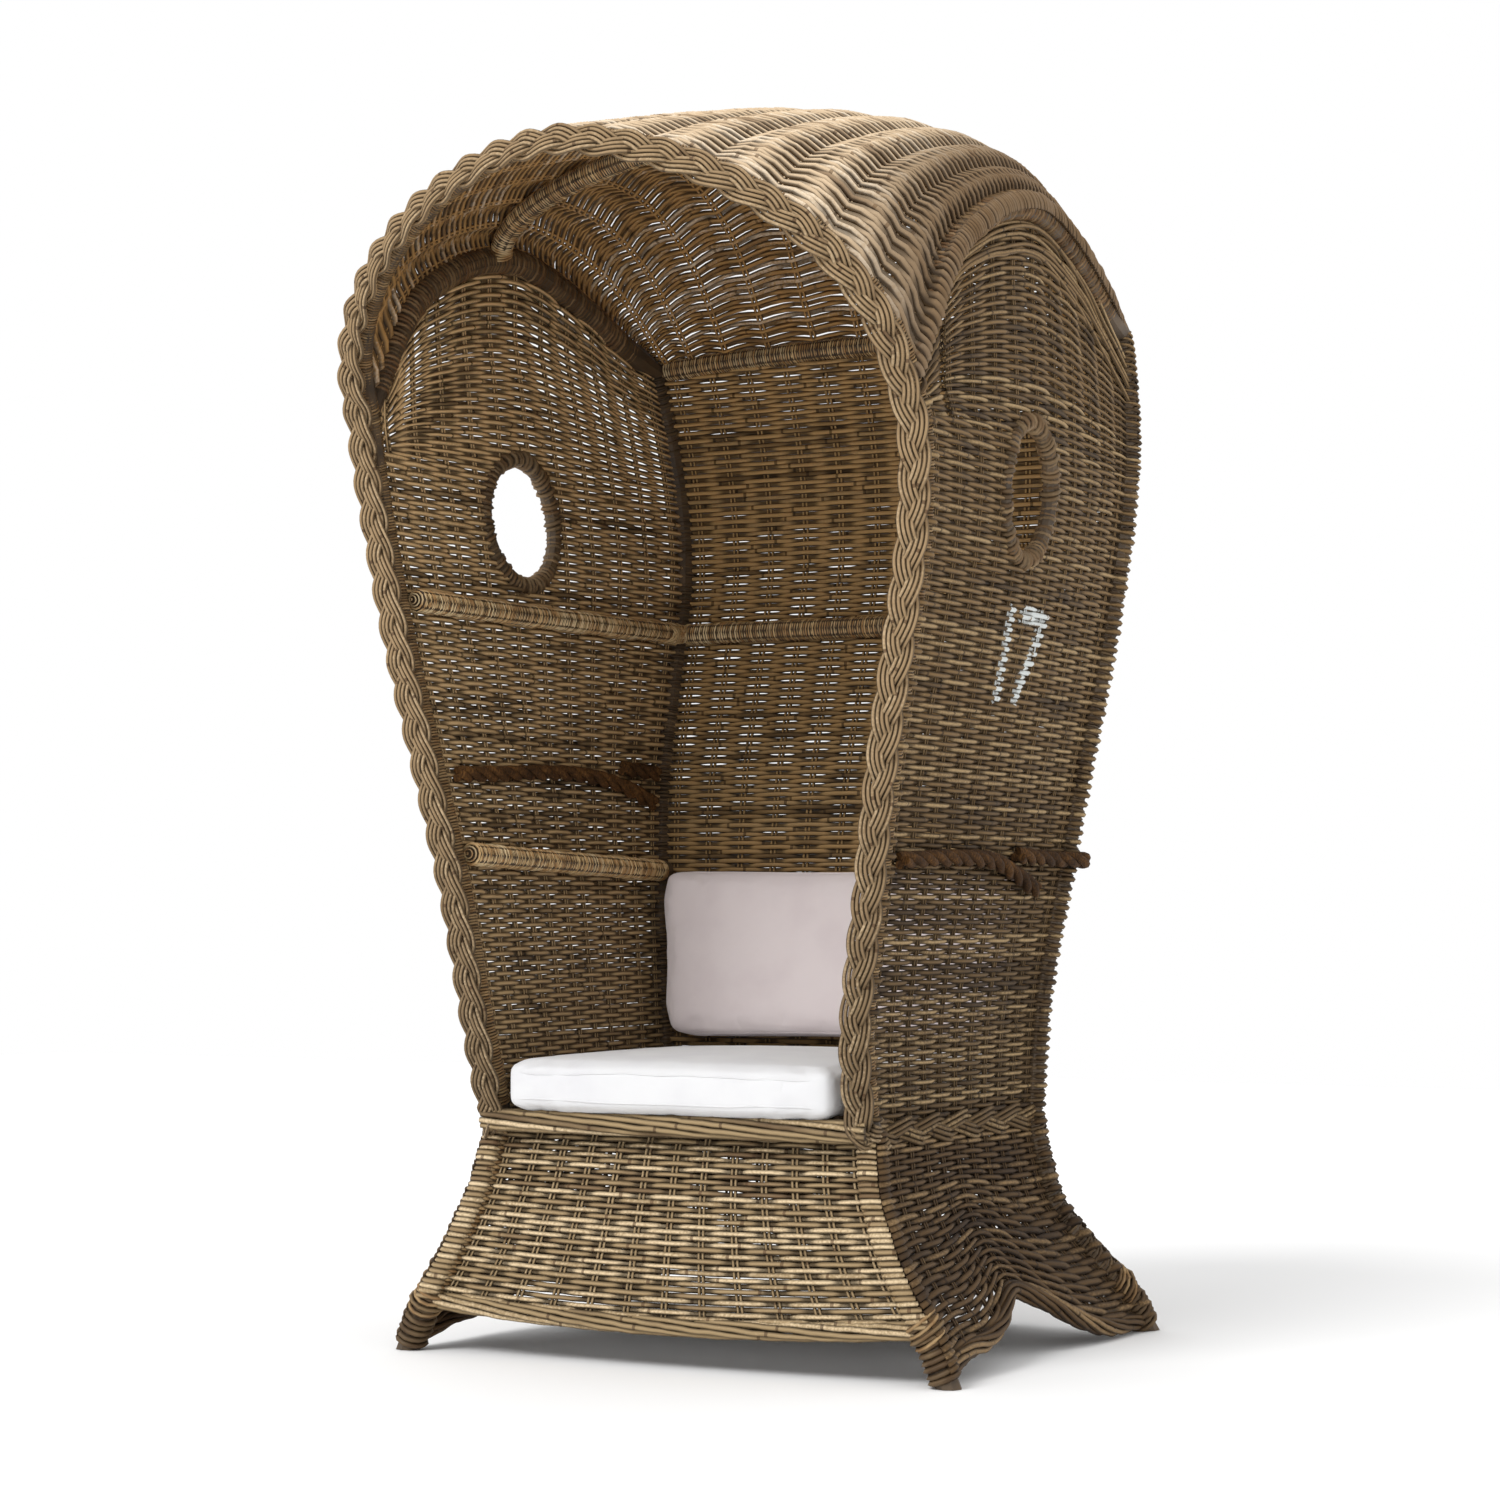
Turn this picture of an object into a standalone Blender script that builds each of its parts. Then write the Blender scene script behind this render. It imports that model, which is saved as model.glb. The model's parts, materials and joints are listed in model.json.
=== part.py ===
# Hooded beach chair woven from rattan on a bent pole frame: flared base, tall hood with two
# portholes, rope grips and two loose cushions. Metres, +Z up, the sitter faces -Y; right (+X) and
# left are as seen from in front.
import math

import bmesh
import bpy
from mathutils import Matrix, Vector

# Overall heights and reaches of the frame lines
HALF_DEPTH = 0.5315        # from the origin to the nose of the rim, and to the fullest part of the back
WAIST_HEIGHT = 0.322       # where the flared base meets the seat box
SPRING_HEIGHT = 1.30       # where the rim starts to arch inwards
RIM_TOP_HEIGHT = 1.607
SIDE_ARCH_HEIGHT = 1.581   # highest point of the rolls between the hood's sides and its roof
BACK_CORNER_HEIGHT = 1.47  # where the rolls meet the back's top corners
BACK_RAIL_HEIGHT = 1.485   # middle of the rail across the top of the back
ROOF_TOP_HEIGHT = 1.746

# Half-widths and places front to back
RIM_WAIST_HALF = 0.287
RIM_FULL_HALF = 0.420
RIM_WAIST_Y = -0.197
RIM_SPRING_Y = -0.342
REAR_WAIST_HALF = 0.304
REAR_TOP_HALF = 0.393
REAR_WAIST_Y = 0.331
SIDE_BULGE = 0.014
FRONT_FOOT_HALF = 0.420
FRONT_FOOT_Y = -0.207
REAR_FOOT_HALF = 0.425
REAR_FOOT_Y = 0.485
SKIRT_BOW = 0.015

# Poles, weave and gaps
GAP = 0.0003               # left wherever two pieces touch
CLEARANCE = 0.001          # left where a rope or rail passes a pole of another slope
SETTLE = 0.003             # how deep a rail or rope lies in the weave, which bends round it
END_EASE = 0.002           # left between a rail's end and the leaning pole it points at
WEAVE_THICKNESS = 0.012    # at the stakes, which the canes pass on both sides
WEAVE_MIDDLE_THICKNESS = 0.008     # halfway between two stakes
ROOF_SWELL = 0.005         # how far the roof stands out between its stakes
BRAID_RADIUS = 0.0185
HOOP_RADIUS = 0.012
LEG_RADIUS = 0.017
ARCH_ROLL_RADIUS = 0.020
ARCH_TIP_RADIUS = 0.009
RAIL_RADIUS = 0.016
WAIST_RAIL_RADIUS = 0.015
SEAT_BORDER_RADIUS = 0.018
SEAT_BORDER_OVERHANG = 0.012
HEM_RADIUS = 0.014
HEM_FLOOR_GAP = 0.002
BRAID_LIFT = 0.002         # from the seat's border to the foot of the plaited rim
FRONT_HEM_LIFT = 0.044     # from the floor to the lower edge of the front and back hems
FRONT_HEM_SAG = 0.015
SIDE_HEM_ARCH = 0.080
ROPE_RADIUS = 0.0125

# Rails and openings of the hood
MID_RAIL_HEIGHT = 1.055
LOW_RAIL_FRONT_HEIGHT = 0.700
LOW_RAIL_REAR_HEIGHT = 0.680
CROSS_HOOP_SHARE = 0.42    # place of the hoop under the roof, from the rim to the back
PORTHOLE_Y = 0.074
PORTHOLE_RISE = 0.142      # from the middle rail to the portholes' middle
PORTHOLE_HALF_WIDTH = 0.090
PORTHOLE_HALF_HEIGHT = 0.095
PORTHOLE_RING_RADIUS = 0.011

# Rope grips
OUTER_ROPE_HEIGHT = 0.692
OUTER_ROPE_DROP = 0.042
INNER_ROPE_HEIGHT = 0.823
INNER_ROPE_DROP = 0.038
ROPE_RUN_SPACING = 0.027   # between a grip and the short second run beside it
ROPE_BACK_RUN = 0.060      # how far the outer rope goes on behind the corner

# Seat
SLAT_COUNT = 6
SLAT_WIDTH = 0.045
SLAT_THICKNESS = 0.010
SLAT_SPREAD = 0.450
SEAT_CUSHION_THICKNESS = 0.060
SEAT_CUSHION_CROWN = 0.010
SEAT_CUSHION_FRONT_HALF = 0.262
SEAT_CUSHION_REAR_HALF = 0.275
SEAT_CUSHION_FRONT_Y = -0.232
BACK_CUSHION_HEIGHT = 0.262
BACK_CUSHION_THICKNESS = 0.062
BACK_CUSHION_CROWN = 0.012
BACK_CUSHION_TOP_HALF = 0.297
BACK_CUSHION_FOOT_HALF = 0.272
CUSHION_EASE = 0.001       # between a cushion and the weave or cushion beside it
CUSHION_PULL = 0.006       # how far its sides draw in between the corners
CUSHION_EDGE_ROUND = 0.010
CUSHION_CORNER_SHARE = 0.10

# How finely each piece is divided
POLE_SIDES = 8
ROLL_SIDES = 10
RING_STEPS = 20
RAIL_STEPS = 8
HEM_STEPS = 10
ARCH_STEPS = 16
SIDE_ROWS, ROOF_ROWS, BACK_ROWS, SKIRT_ROWS = 13, 10, 12, 5
ROOF_STEPS_PER_STAKE = 4
CUSHION_CUTS = 5
CORNER_STEPS = 4
SHARP_ANGLE = math.radians(50)     # edges above it stay sharp

# How many upright stakes the canes of each panel pass
SIDE_STAKES = 11
BACK_STAKES = 12
SKIRT_STAKES = 13
ROOF_STAKES = 14

# Slopes and curve shapes, without unit
ROOF_FRONT_SLOPE = 0.25    # rise over run of the roof just behind the top of the rim
ARCH_POINT_POWER = 1.18    # above 1 the rim and roof are a little more pointed than an ellipse
FLUTE_FADE_POWER = 8       # the higher, the nearer to the rolls the roof's flutes end

# Each row: height from waist to springing, then the share of the half-width and of the way forward
RIM_SIDE_SHARES = ((0, 0, 0), (0.14, 0.06, 0.23), (0.325, 0.26, 0.33), (0.51, 0.50, 0.49),
                   (0.69, 0.77, 0.61), (0.82, 0.93, 0.68), (0.94, 1.0, 0.83), (1, 0.95, 1))
# Height from waist to back corner, then the share of the half-width and of the way back
REAR_POST_SHARES = ((0, 0, 0), (0.155, 0.12, 0.04), (0.295, 0.34, 0.19), (0.435, 0.52, 0.38),
                    (0.575, 0.64, 0.69), (0.71, 0.72, 0.95), (0.785, 0.81, 1), (0.85, 0.89, 0.98),
                    (0.92, 0.95, 0.87), (1, 1, 0.67))
# Height from floor to waist, then the share of the way out and of the way forward or back
FRONT_LEG_SHARES = ((0, 1, 1), (0.18, 0.81, 0.95), (0.33, 0.59, 0.88), (0.46, 0.41, 0.80),
                    (0.61, 0.25, 0.66), (0.75, 0.12, 0.5), (0.93, 0.04, 0.2), (1, 0, 0))
REAR_LEG_SHARES = ((0, 1, 1), (0.17, 0.86, 0.77), (0.33, 0.63, 0.45), (0.48, 0.41, 0.20),
                   (0.62, 0.21, 0.08), (0.88, 0.05, 0.01), (1, 0, 0))
# Place from rim to back corner, then the share of the rise from the springing to the arch's top
SIDE_ARCH_SHARES = ((0, 0), (0.112, 0.552), (0.257, 0.836), (0.408, 0.979), (0.54, 1),
                    (0.727, 0.87), (0.865, 0.72), (1, 0.605))
# Place from rim to back rail, then the share of the way back and of the roof's rise over the rail
ROOF_RIDGE_SHARES = ((0.2, 0.22, 0.70), (0.4, 0.434, 0.887), (0.55, 0.594, 0.99),
                     (0.7, 0.744, 0.965), (0.85, 0.882, 0.68))
# Place from front leg to rear leg, then the share of the hem's arch
SIDE_HEM_SHARES = ((0, 0), (0.12, 0.27), (0.235, 0.36), (0.33, 0.57), (0.445, 0.95), (0.49, 1),
                   (0.58, 0.75), (0.69, 0.31), (0.81, 0.04), (1, 0))
# Place from rim to back corner, then the share of the drop below the grip's height
OUTER_ROPE_SHARES = ((0.07, 0.12), (0.2, 0.03), (0.35, 0), (0.46, 0), (0.54, 0.1), (0.62, 0.36),
                     (0.71, 0.7), (0.79, 1))
OUTER_RUN_SHARES = ((0.65, 0.5), (0.78, 0.55), (0.90, 0.6))
INNER_ROPE_SHARES = ((0.05, 0.3), (0.2, 0.2), (0.4, 0.03), (0.58, 0), (0.72, 0.2), (0.83, 0.55),
                     (0.92, 1))
INNER_RUN_SHARES = ((0.78, 0.35), (0.86, 0.42), (0.93, 0.5))
TAPER_SHARE = 0.12         # of the side arch, over which its roll thins to its front tip
ROOF_EDGE_SHARE = 0.006    # of the roof, from the middle of the hoop to the weave's front edge
PROBE_SHARE = 0.01         # of the roof, stepped over to find which way it faces

# Sizes that follow from those above
PORTHOLE_HEIGHT = MID_RAIL_HEIGHT + PORTHOLE_RISE
HOOP_SETBACK = BRAID_RADIUS + HOOP_RADIUS + GAP
WEAVE_HALF = WEAVE_THICKNESS / 2
RAIL_INSET = WEAVE_HALF + RAIL_RADIUS - SETTLE
ROPE_PROUD = WEAVE_HALF + ROPE_RADIUS - SETTLE
ROPE_ROUND_POST = (LEG_RADIUS + CLEARANCE + ROPE_RADIUS) / math.cos(math.pi / 4 / CORNER_STEPS)
RIM_NOSE_Y = -(HALF_DEPTH - BRAID_RADIUS)
REAR_FULL_Y = HALF_DEPTH - LEG_RADIUS
BORDER_TOP = WAIST_HEIGHT + SEAT_BORDER_RADIUS
BRAID_FOOT_HEIGHT = BORDER_TOP + BRAID_LIFT
SLAT_BOTTOM = WAIST_HEIGHT + WAIST_RAIL_RADIUS + GAP
SLAT_TOP = SLAT_BOTTOM + SLAT_THICKNESS

CANE = (0.42, 0.31, 0.18)
DARK_CANE = (0.24, 0.16, 0.09)
PALE_CANE = (0.50, 0.40, 0.26)
ROPE_BROWN = (0.20, 0.09, 0.04)
WHITE_CLOTH = (0.86, 0.85, 0.84)
ROSE_CLOTH = (0.72, 0.66, 0.64)
CANE_ROUGHNESS = 0.6
CLOTH_ROUGHNESS = 0.9


def smooth(rows, at):
    """The values at a place on a smooth curve through rows of (place, value, value ...)."""
    last = len(rows) - 1
    index = min(max(sum(row[0] <= at for row in rows) - 1, 0), last - 1)
    near, far = rows[index], rows[index + 1]
    before, after = rows[max(index - 1, 0)], rows[min(index + 2, last)]
    span = far[0] - near[0]
    t = (at - near[0]) / span
    values = []
    for k in range(1, len(near)):
        leave = (far[k] - before[k]) / (far[0] - before[0]) * span
        reach = (after[k] - near[k]) / (after[0] - near[0]) * span
        values.append((2 * t**3 - 3 * t**2 + 1) * near[k] + (t**3 - 2 * t**2 + t) * leave
                      + (3 * t**2 - 2 * t**3) * far[k] + (t**3 - t**2) * reach)
    return values


def mix(a, b, share):
    return a + (b - a) * share


def steps(first, last, count):
    return [mix(first, last, i / count) for i in range(count + 1)]


# Frame lines, given for the right-hand side (+X)

def rim_side(height):
    """Middle of the plaited rim below the arch; above the springing it stays at the springing's place."""
    share = min((height - WAIST_HEIGHT) / (SPRING_HEIGHT - WAIST_HEIGHT), 1)
    out, forward = smooth(RIM_SIDE_SHARES, share)
    return Vector((mix(RIM_WAIST_HALF, RIM_FULL_HALF, out), mix(RIM_WAIST_Y, RIM_SPRING_Y, forward), height))


def rim_arch(angle):
    """Middle of the plaited rim over the opening; the angle is 0 at its top, a quarter turn at its side."""
    spring = rim_side(SPRING_HEIGHT)
    rise = math.cos(angle)
    return Vector((spring.x * math.copysign(abs(math.sin(angle)) ** ARCH_POINT_POWER, math.sin(angle)),
                   mix(spring.y, RIM_NOSE_Y, rise), mix(SPRING_HEIGHT, RIM_TOP_HEIGHT, rise)))


def behind(path, index):
    """The point of the hoop that lies square behind a point of the rim."""
    along = (path[min(index + 1, len(path) - 1)] - path[max(index - 1, 0)]).normalized()
    rise = max(path[index].z - SPRING_HEIGHT, 0) / (RIM_TOP_HEIGHT - SPRING_HEIGHT)
    back = Vector((0, 1, ROOF_FRONT_SLOPE * rise)).normalized()
    return path[index] + (back - along * back.dot(along)).normalized() * HOOP_SETBACK


def front_pole(height):
    """Middle of the front leg below the waist, and of the hoop above it."""
    if height >= WAIST_HEIGHT:
        return rim_side(height) + Vector((0, HOOP_SETBACK, 0))
    out, forward = smooth(FRONT_LEG_SHARES, height / WAIST_HEIGHT)
    top = front_pole(WAIST_HEIGHT)
    return Vector((mix(top.x, FRONT_FOOT_HALF, out), mix(top.y, FRONT_FOOT_Y, forward), height))


def rear_pole(height):
    """Middle of the rear leg below the waist, and of the back's corner post above it."""
    if height >= WAIST_HEIGHT:
        share = min((height - WAIST_HEIGHT) / (BACK_CORNER_HEIGHT - WAIST_HEIGHT), 1)
        out, back = smooth(REAR_POST_SHARES, share)
        half = mix(REAR_WAIST_HALF, REAR_TOP_HALF, out)
        return Vector((half, mix(REAR_WAIST_Y, REAR_FULL_Y, back), height))
    out, back = smooth(REAR_LEG_SHARES, height / WAIST_HEIGHT)
    return Vector((mix(REAR_WAIST_HALF, REAR_FOOT_HALF, out), mix(REAR_WAIST_Y, REAR_FOOT_Y, back), height))


def side_wall(share, height):
    """A point of the hood's side, from the rim (0) to the back corner (1)."""
    point = front_pole(height).lerp(rear_pole(height), share)
    fullness = min(max((height - WAIST_HEIGHT) / (SPRING_HEIGHT - WAIST_HEIGHT), 0), 1)
    point.x += SIDE_BULGE * 4 * share * (1 - share) * fullness
    point.z = height
    return point


def side_wall_at(y, height):
    """The point of the hood's side at a place front to back."""
    front, rear = front_pole(height).y, rear_pole(height).y
    return side_wall((y - front) / (rear - front), height)


def side_arch(share):
    rise = smooth(SIDE_ARCH_SHARES, share)[0]
    return side_wall(share, mix(SPRING_HEIGHT, SIDE_ARCH_HEIGHT, rise))


def roof_ridge(share):
    """The middle line of the roof, from the rim (0) to the back rail (1)."""
    front = rim_arch(0) + Vector((0, 1, ROOF_FRONT_SLOPE)).normalized() * HOOP_SETBACK
    rear = Vector((0, rear_pole(BACK_CORNER_HEIGHT).y, BACK_RAIL_HEIGHT))
    rows = [(0, front.y, front.z)]
    for place, back, rise in ROOF_RIDGE_SHARES:
        rows.append((place, mix(front.y, rear.y, back), mix(rear.z, ROOF_TOP_HEIGHT, rise)))
    rows.append((1, rear.y, rear.z))
    y, height = smooth(rows, share)
    return Vector((0, y, height))


def roof(across, share):
    """A point of the roof: across runs from -1 on the left roll to 1 on the right one."""
    angle = across * math.pi / 2
    side, ridge = side_arch(share), roof_ridge(share)
    rise = math.cos(angle)
    return Vector((side.x * math.copysign(abs(math.sin(angle)) ** ARCH_POINT_POWER, across),
                   mix(side.y, ridge.y, rise), mix(side.z, ridge.z, rise)))


def roof_outward(across, share):
    """Which way the roof faces at a point."""
    along_x = roof(min(across + PROBE_SHARE, 1), share) - roof(max(across - PROBE_SHARE, -1), share)
    along_y = roof(across, min(share + PROBE_SHARE, 1)) - roof(across, max(share - PROBE_SHARE, 0))
    return along_x.cross(along_y).normalized()


def fluted_roof(across, share):
    """The same point on the roof's flutes, which stand out between the stakes and end at the rolls."""
    flute = abs(math.cos(math.pi * ROOF_STAKES * (across + 1) / 2)) * (1 - across**FLUTE_FADE_POWER)
    return roof(across, share) + roof_outward(across, share) * ROOF_SWELL * flute


def back_wall(across, height):
    corner = rear_pole(height)
    return Vector((corner.x * across, corner.y, height))


def skirt_front(across, height):
    corner = front_pole(height)
    bow = SKIRT_BOW * (1 - across**2) * (1 - height / WAIST_HEIGHT)
    return Vector((corner.x * across, corner.y - bow, height))


def skirt_back(across, height):
    corner = rear_pole(height)
    bow = SKIRT_BOW * (1 - across**2) * (1 - height / WAIST_HEIGHT)
    return Vector((corner.x * across, corner.y + bow, height))


def skirt_side(share, height):
    return front_pole(height).lerp(rear_pole(height), share)


def front_hem_height(across):
    return FRONT_HEM_LIFT + HEM_RADIUS + FRONT_HEM_SAG * across**2


def side_hem_height(share):
    return HEM_FLOOR_GAP + HEM_RADIUS + SIDE_HEM_ARCH * smooth(SIDE_HEM_SHARES, share)[0]


# Making solids

def material(name, colour, roughness):
    surface = bpy.data.materials.new(name)
    surface.use_nodes = True
    shader = surface.node_tree.nodes["Principled BSDF"]
    shader.inputs["Base Color"].default_value = (*colour, 1)
    shader.inputs["Roughness"].default_value = roughness
    shader.inputs["Metallic"].default_value = 0
    return surface


def add_object(name, bm, colour, roughness=CANE_ROUGHNESS):
    bmesh.ops.recalc_face_normals(bm, faces=bm.faces)
    mesh = bpy.data.meshes.new(name)
    bm.to_mesh(mesh)
    bm.free()
    mesh.shade_smooth()
    mesh.set_sharp_from_angle(angle=SHARP_ANGLE)
    mesh.materials.append(material(name, colour, roughness))
    item = bpy.data.objects.new(name, mesh)
    bpy.context.scene.collection.objects.link(item)
    return item


def mirrored(path):
    return [Vector((-p.x, p.y, p.z)) for p in path]


def sweep(path, radii, sides, closed=False):
    """A round tube along a path, with flat ends; an end that stands on the floor lies flat on it."""
    bm = bmesh.new()
    count = len(path)
    rings = []
    across = None
    for i, centre in enumerate(path):
        ahead = path[(i + 1) % count] if closed else path[min(i + 1, count - 1)]
        before = path[i - 1] if closed else path[max(i - 1, 0)]
        along = (ahead - before).normalized()
        if closed:
            across = Vector((1, 0, 0)).cross(along).normalized()
        elif across is None:
            across = along.orthogonal().normalized()
        across = (across - along * across.dot(along)).normalized()
        other = along.cross(across)
        ring = []
        for k in range(sides):
            angle = 2 * math.pi * k / sides
            point = centre + (across * math.cos(angle) + other * math.sin(angle)) * radii[i]
            if centre.z == 0:
                point -= along * (point.z / along.z)
            ring.append(bm.verts.new(point))
        rings.append(ring)
    for i in range(count if closed else count - 1):
        near, far = rings[i], rings[(i + 1) % count]
        for k in range(sides):
            bm.faces.new((near[k], near[(k + 1) % sides], far[(k + 1) % sides], far[k]))
    if not closed:
        bm.faces.new(rings[0])
        bm.faces.new(rings[-1])
    bmesh.ops.triangulate(bm, faces=[f for f in bm.faces if len(f.verts) == 4], quad_method='FIXED')
    return bm


def add_pole(name, path, radius, colour=CANE, sides=POLE_SIDES, **options):
    radii = radius if isinstance(radius, list) else [radius] * len(path)
    return add_object(name, sweep(path, radii, sides, **options), colour)


def add_cutter(name, path, radius, sides=POLE_SIDES, **options):
    """The same pole with a gap all round, to cut its neighbours with; it isn't shown."""
    radii = radius if isinstance(radius, list) else [radius] * len(path)
    cutter = add_object(name + "_cutter", sweep(path, [r + GAP for r in radii], sides, **options), CANE)
    cutter.hide_render = True
    cutter.display_type = 'WIRE'
    return cutter


def add_laid(name, path, radius, colour, grooves):
    """A rail or rope laid in the weave; the groove that it needs is added to the list."""
    add_pole(name, path, radius, colour)
    first = path[0] + (path[0] - path[1]).normalized() * GAP
    last = path[-1] + (path[-1] - path[-2]).normalized() * GAP
    grooves.append(add_cutter(name, [first] + path[1:-1] + [last], radius))


def cut(item, *cutters):
    """Cuts the neighbours out of a piece, all in one go."""
    group = bpy.data.collections.new(item.name + "_cutters")
    for cutter in cutters:
        group.objects.link(cutter)
    boolean = item.modifiers.new("neighbours", 'BOOLEAN')
    boolean.operation = 'DIFFERENCE'
    boolean.solver = 'EXACT'
    boolean.operand_type = 'COLLECTION'
    boolean.collection = group


def add_shell(name, surface, columns, rows, colour):
    """A sheet of weave: surface(column, row), both from 0 to 1, is its middle, thickened to both sides."""
    bm = bmesh.new()
    grid = [[bm.verts.new(surface(i / columns, j / rows)) for j in range(rows + 1)]
            for i in range(columns + 1)]
    for i in range(columns):
        for j in range(rows):
            bm.faces.new((grid[i][j], grid[i + 1][j], grid[i + 1][j + 1], grid[i][j + 1]))
    panel = add_object(name, bm, colour)
    solidify = panel.modifiers.new("thickness", 'SOLIDIFY')
    solidify.thickness = WEAVE_THICKNESS
    solidify.offset = 0
    return panel


def add_ribbed(name, surface, stakes, rows, colour):
    """A sheet of weave that is thicker at its stakes than between them."""
    panel = add_shell(name, surface, 2 * stakes, rows, colour)
    ribs = panel.vertex_groups.new(name="ribs")
    for stake in range(stakes):
        first = (2 * stake + 1) * (rows + 1)
        ribs.add(list(range(first, first + rows + 1)), 1, 'REPLACE')
    solidify = panel.modifiers["thickness"]
    solidify.vertex_group = ribs.name
    solidify.thickness_vertex_group = WEAVE_MIDDLE_THICKNESS / WEAVE_THICKNESS
    return panel


def trim(path, start, end):
    """The path with a length taken off each end."""
    def from_start(points, length):
        kept = list(points)
        while (kept[1] - kept[0]).length <= length:
            length -= (kept[1] - kept[0]).length
            kept.pop(0)
        kept[0] = kept[0] + (kept[1] - kept[0]).normalized() * length
        return kept
    return from_start(from_start(path, start)[::-1], end)[::-1]


def beside(radius, inset):
    """How far from a pole's middle a rail must stop that runs past it at an inset."""
    nearest = inset - RAIL_RADIUS
    return math.sqrt((radius + GAP) ** 2 - nearest**2) + END_EASE


# Poles of the frame

def leg_heights():
    return [share[0] * WAIST_HEIGHT for share in FRONT_LEG_SHARES]


def front_hoop_path():
    """From the right foot up the leg and the side of the opening, over its top and down to the left foot."""
    rim = rim_path()
    rim = [rim_side(WAIST_HEIGHT)] + rim + mirrored([rim_side(WAIST_HEIGHT)])
    hoop = [behind(rim, i) for i in range(len(rim))]
    hoop[0] = front_pole(WAIST_HEIGHT)
    hoop[-1] = mirrored([hoop[0]])[0]
    legs = [front_pole(z) for z in leg_heights()[:-1]]
    path = legs + hoop + mirrored(reversed(legs))
    radii = [LEG_RADIUS if p.z <= WAIST_HEIGHT else HOOP_RADIUS for p in path]
    return path, radii


def rim_path():
    """The middle of the plaited rim, from its right foot over the opening to its left foot."""
    side = [rim_side(z) for z in [BRAID_FOOT_HEIGHT] + steps(WAIST_HEIGHT, SPRING_HEIGHT, SIDE_ROWS)[1:-1]]
    arch = [rim_arch(a) for a in steps(math.pi / 2, -math.pi / 2, ARCH_STEPS)]
    return side + arch + mirrored(reversed(side))


def side_frame_path():
    """From the rear foot up the corner post, then forward along the side arch to the hoop."""
    legs = [rear_pole(share[0] * WAIST_HEIGHT) for share in REAR_LEG_SHARES[:-1]]
    post = [rear_pole(z) for z in steps(WAIST_HEIGHT, BACK_CORNER_HEIGHT, SIDE_ROWS)]
    places = steps(1, 0, ARCH_STEPS)[1:]
    path = legs + post + [side_arch(s) for s in places]
    radii = [LEG_RADIUS] * len(legs + post)
    radii += [mix(ARCH_TIP_RADIUS, ARCH_ROLL_RADIUS, min(s / TAPER_SHARE, 1)) for s in places]
    return path, radii


def build_frame():
    path, radii = front_hoop_path()
    add_pole("front_hoop", path, radii)
    hoop_cutter = add_cutter("front_hoop", path, radii)
    cutters = {"hoop": hoop_cutter}

    path, radii = side_frame_path()
    for side, line in (("right", path), ("left", mirrored(path))):
        frame = add_pole(f"side_frame_{side}", line, radii, sides=ROLL_SIDES)
        cut(frame, hoop_cutter)
        cutters[side] = add_cutter(f"side_frame_{side}", line, radii, sides=ROLL_SIDES)

    posts = (cutters["right"], cutters["left"])
    housed = LEG_RADIUS / 2    # each rail's end stops this far short of its post's middle
    corner = rear_pole(BACK_CORNER_HEIGHT)
    top = [Vector((corner.x * a, corner.y, mix(corner.z, BACK_RAIL_HEIGHT, 1 - a**2)))
           for a in steps(-1, 1, RAIL_STEPS)]
    add_pole("back_top_rail", trim(top, ARCH_ROLL_RADIUS, ARCH_ROLL_RADIUS), RAIL_RADIUS)
    cutters["back_top"] = add_cutter("back_top_rail", top, RAIL_RADIUS)

    lines = {"front": [skirt_front(a, WAIST_HEIGHT) for a in (-1, 0, 1)],
             "back": [skirt_back(a, WAIST_HEIGHT) for a in (-1, 0, 1)],
             "right": [skirt_side(s, WAIST_HEIGHT) for s in (0, 0.5, 1)]}
    lines["left"] = mirrored(lines["right"])
    for place, line in lines.items():
        rail = add_pole(f"waist_rail_{place}", trim(line, housed, housed), WAIST_RAIL_RADIUS)
        cutters[f"waist_{place}"] = add_cutter(f"waist_rail_{place}", line, WAIST_RAIL_RADIUS)
        crossing = [cutters["waist_front"], cutters["waist_back"]] if place in ("right", "left") else []
        cut(rail, hoop_cutter, *posts, *crossing)

    hems = {"front": [skirt_front(a, front_hem_height(a)) for a in steps(-1, 1, HEM_STEPS)],
            "back": [skirt_back(a, front_hem_height(a)) for a in steps(-1, 1, HEM_STEPS)],
            "right": [skirt_side(s, side_hem_height(s)) for s in steps(0, 1, HEM_STEPS)]}
    hems["left"] = mirrored(hems["right"])
    for place, line in hems.items():
        cut(add_pole(f"hem_{place}", trim(line, housed, housed), HEM_RADIUS), hoop_cutter, *posts)
        cutters[f"hem_{place}"] = add_cutter(f"hem_{place}", line, HEM_RADIUS)
    return cutters


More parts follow.
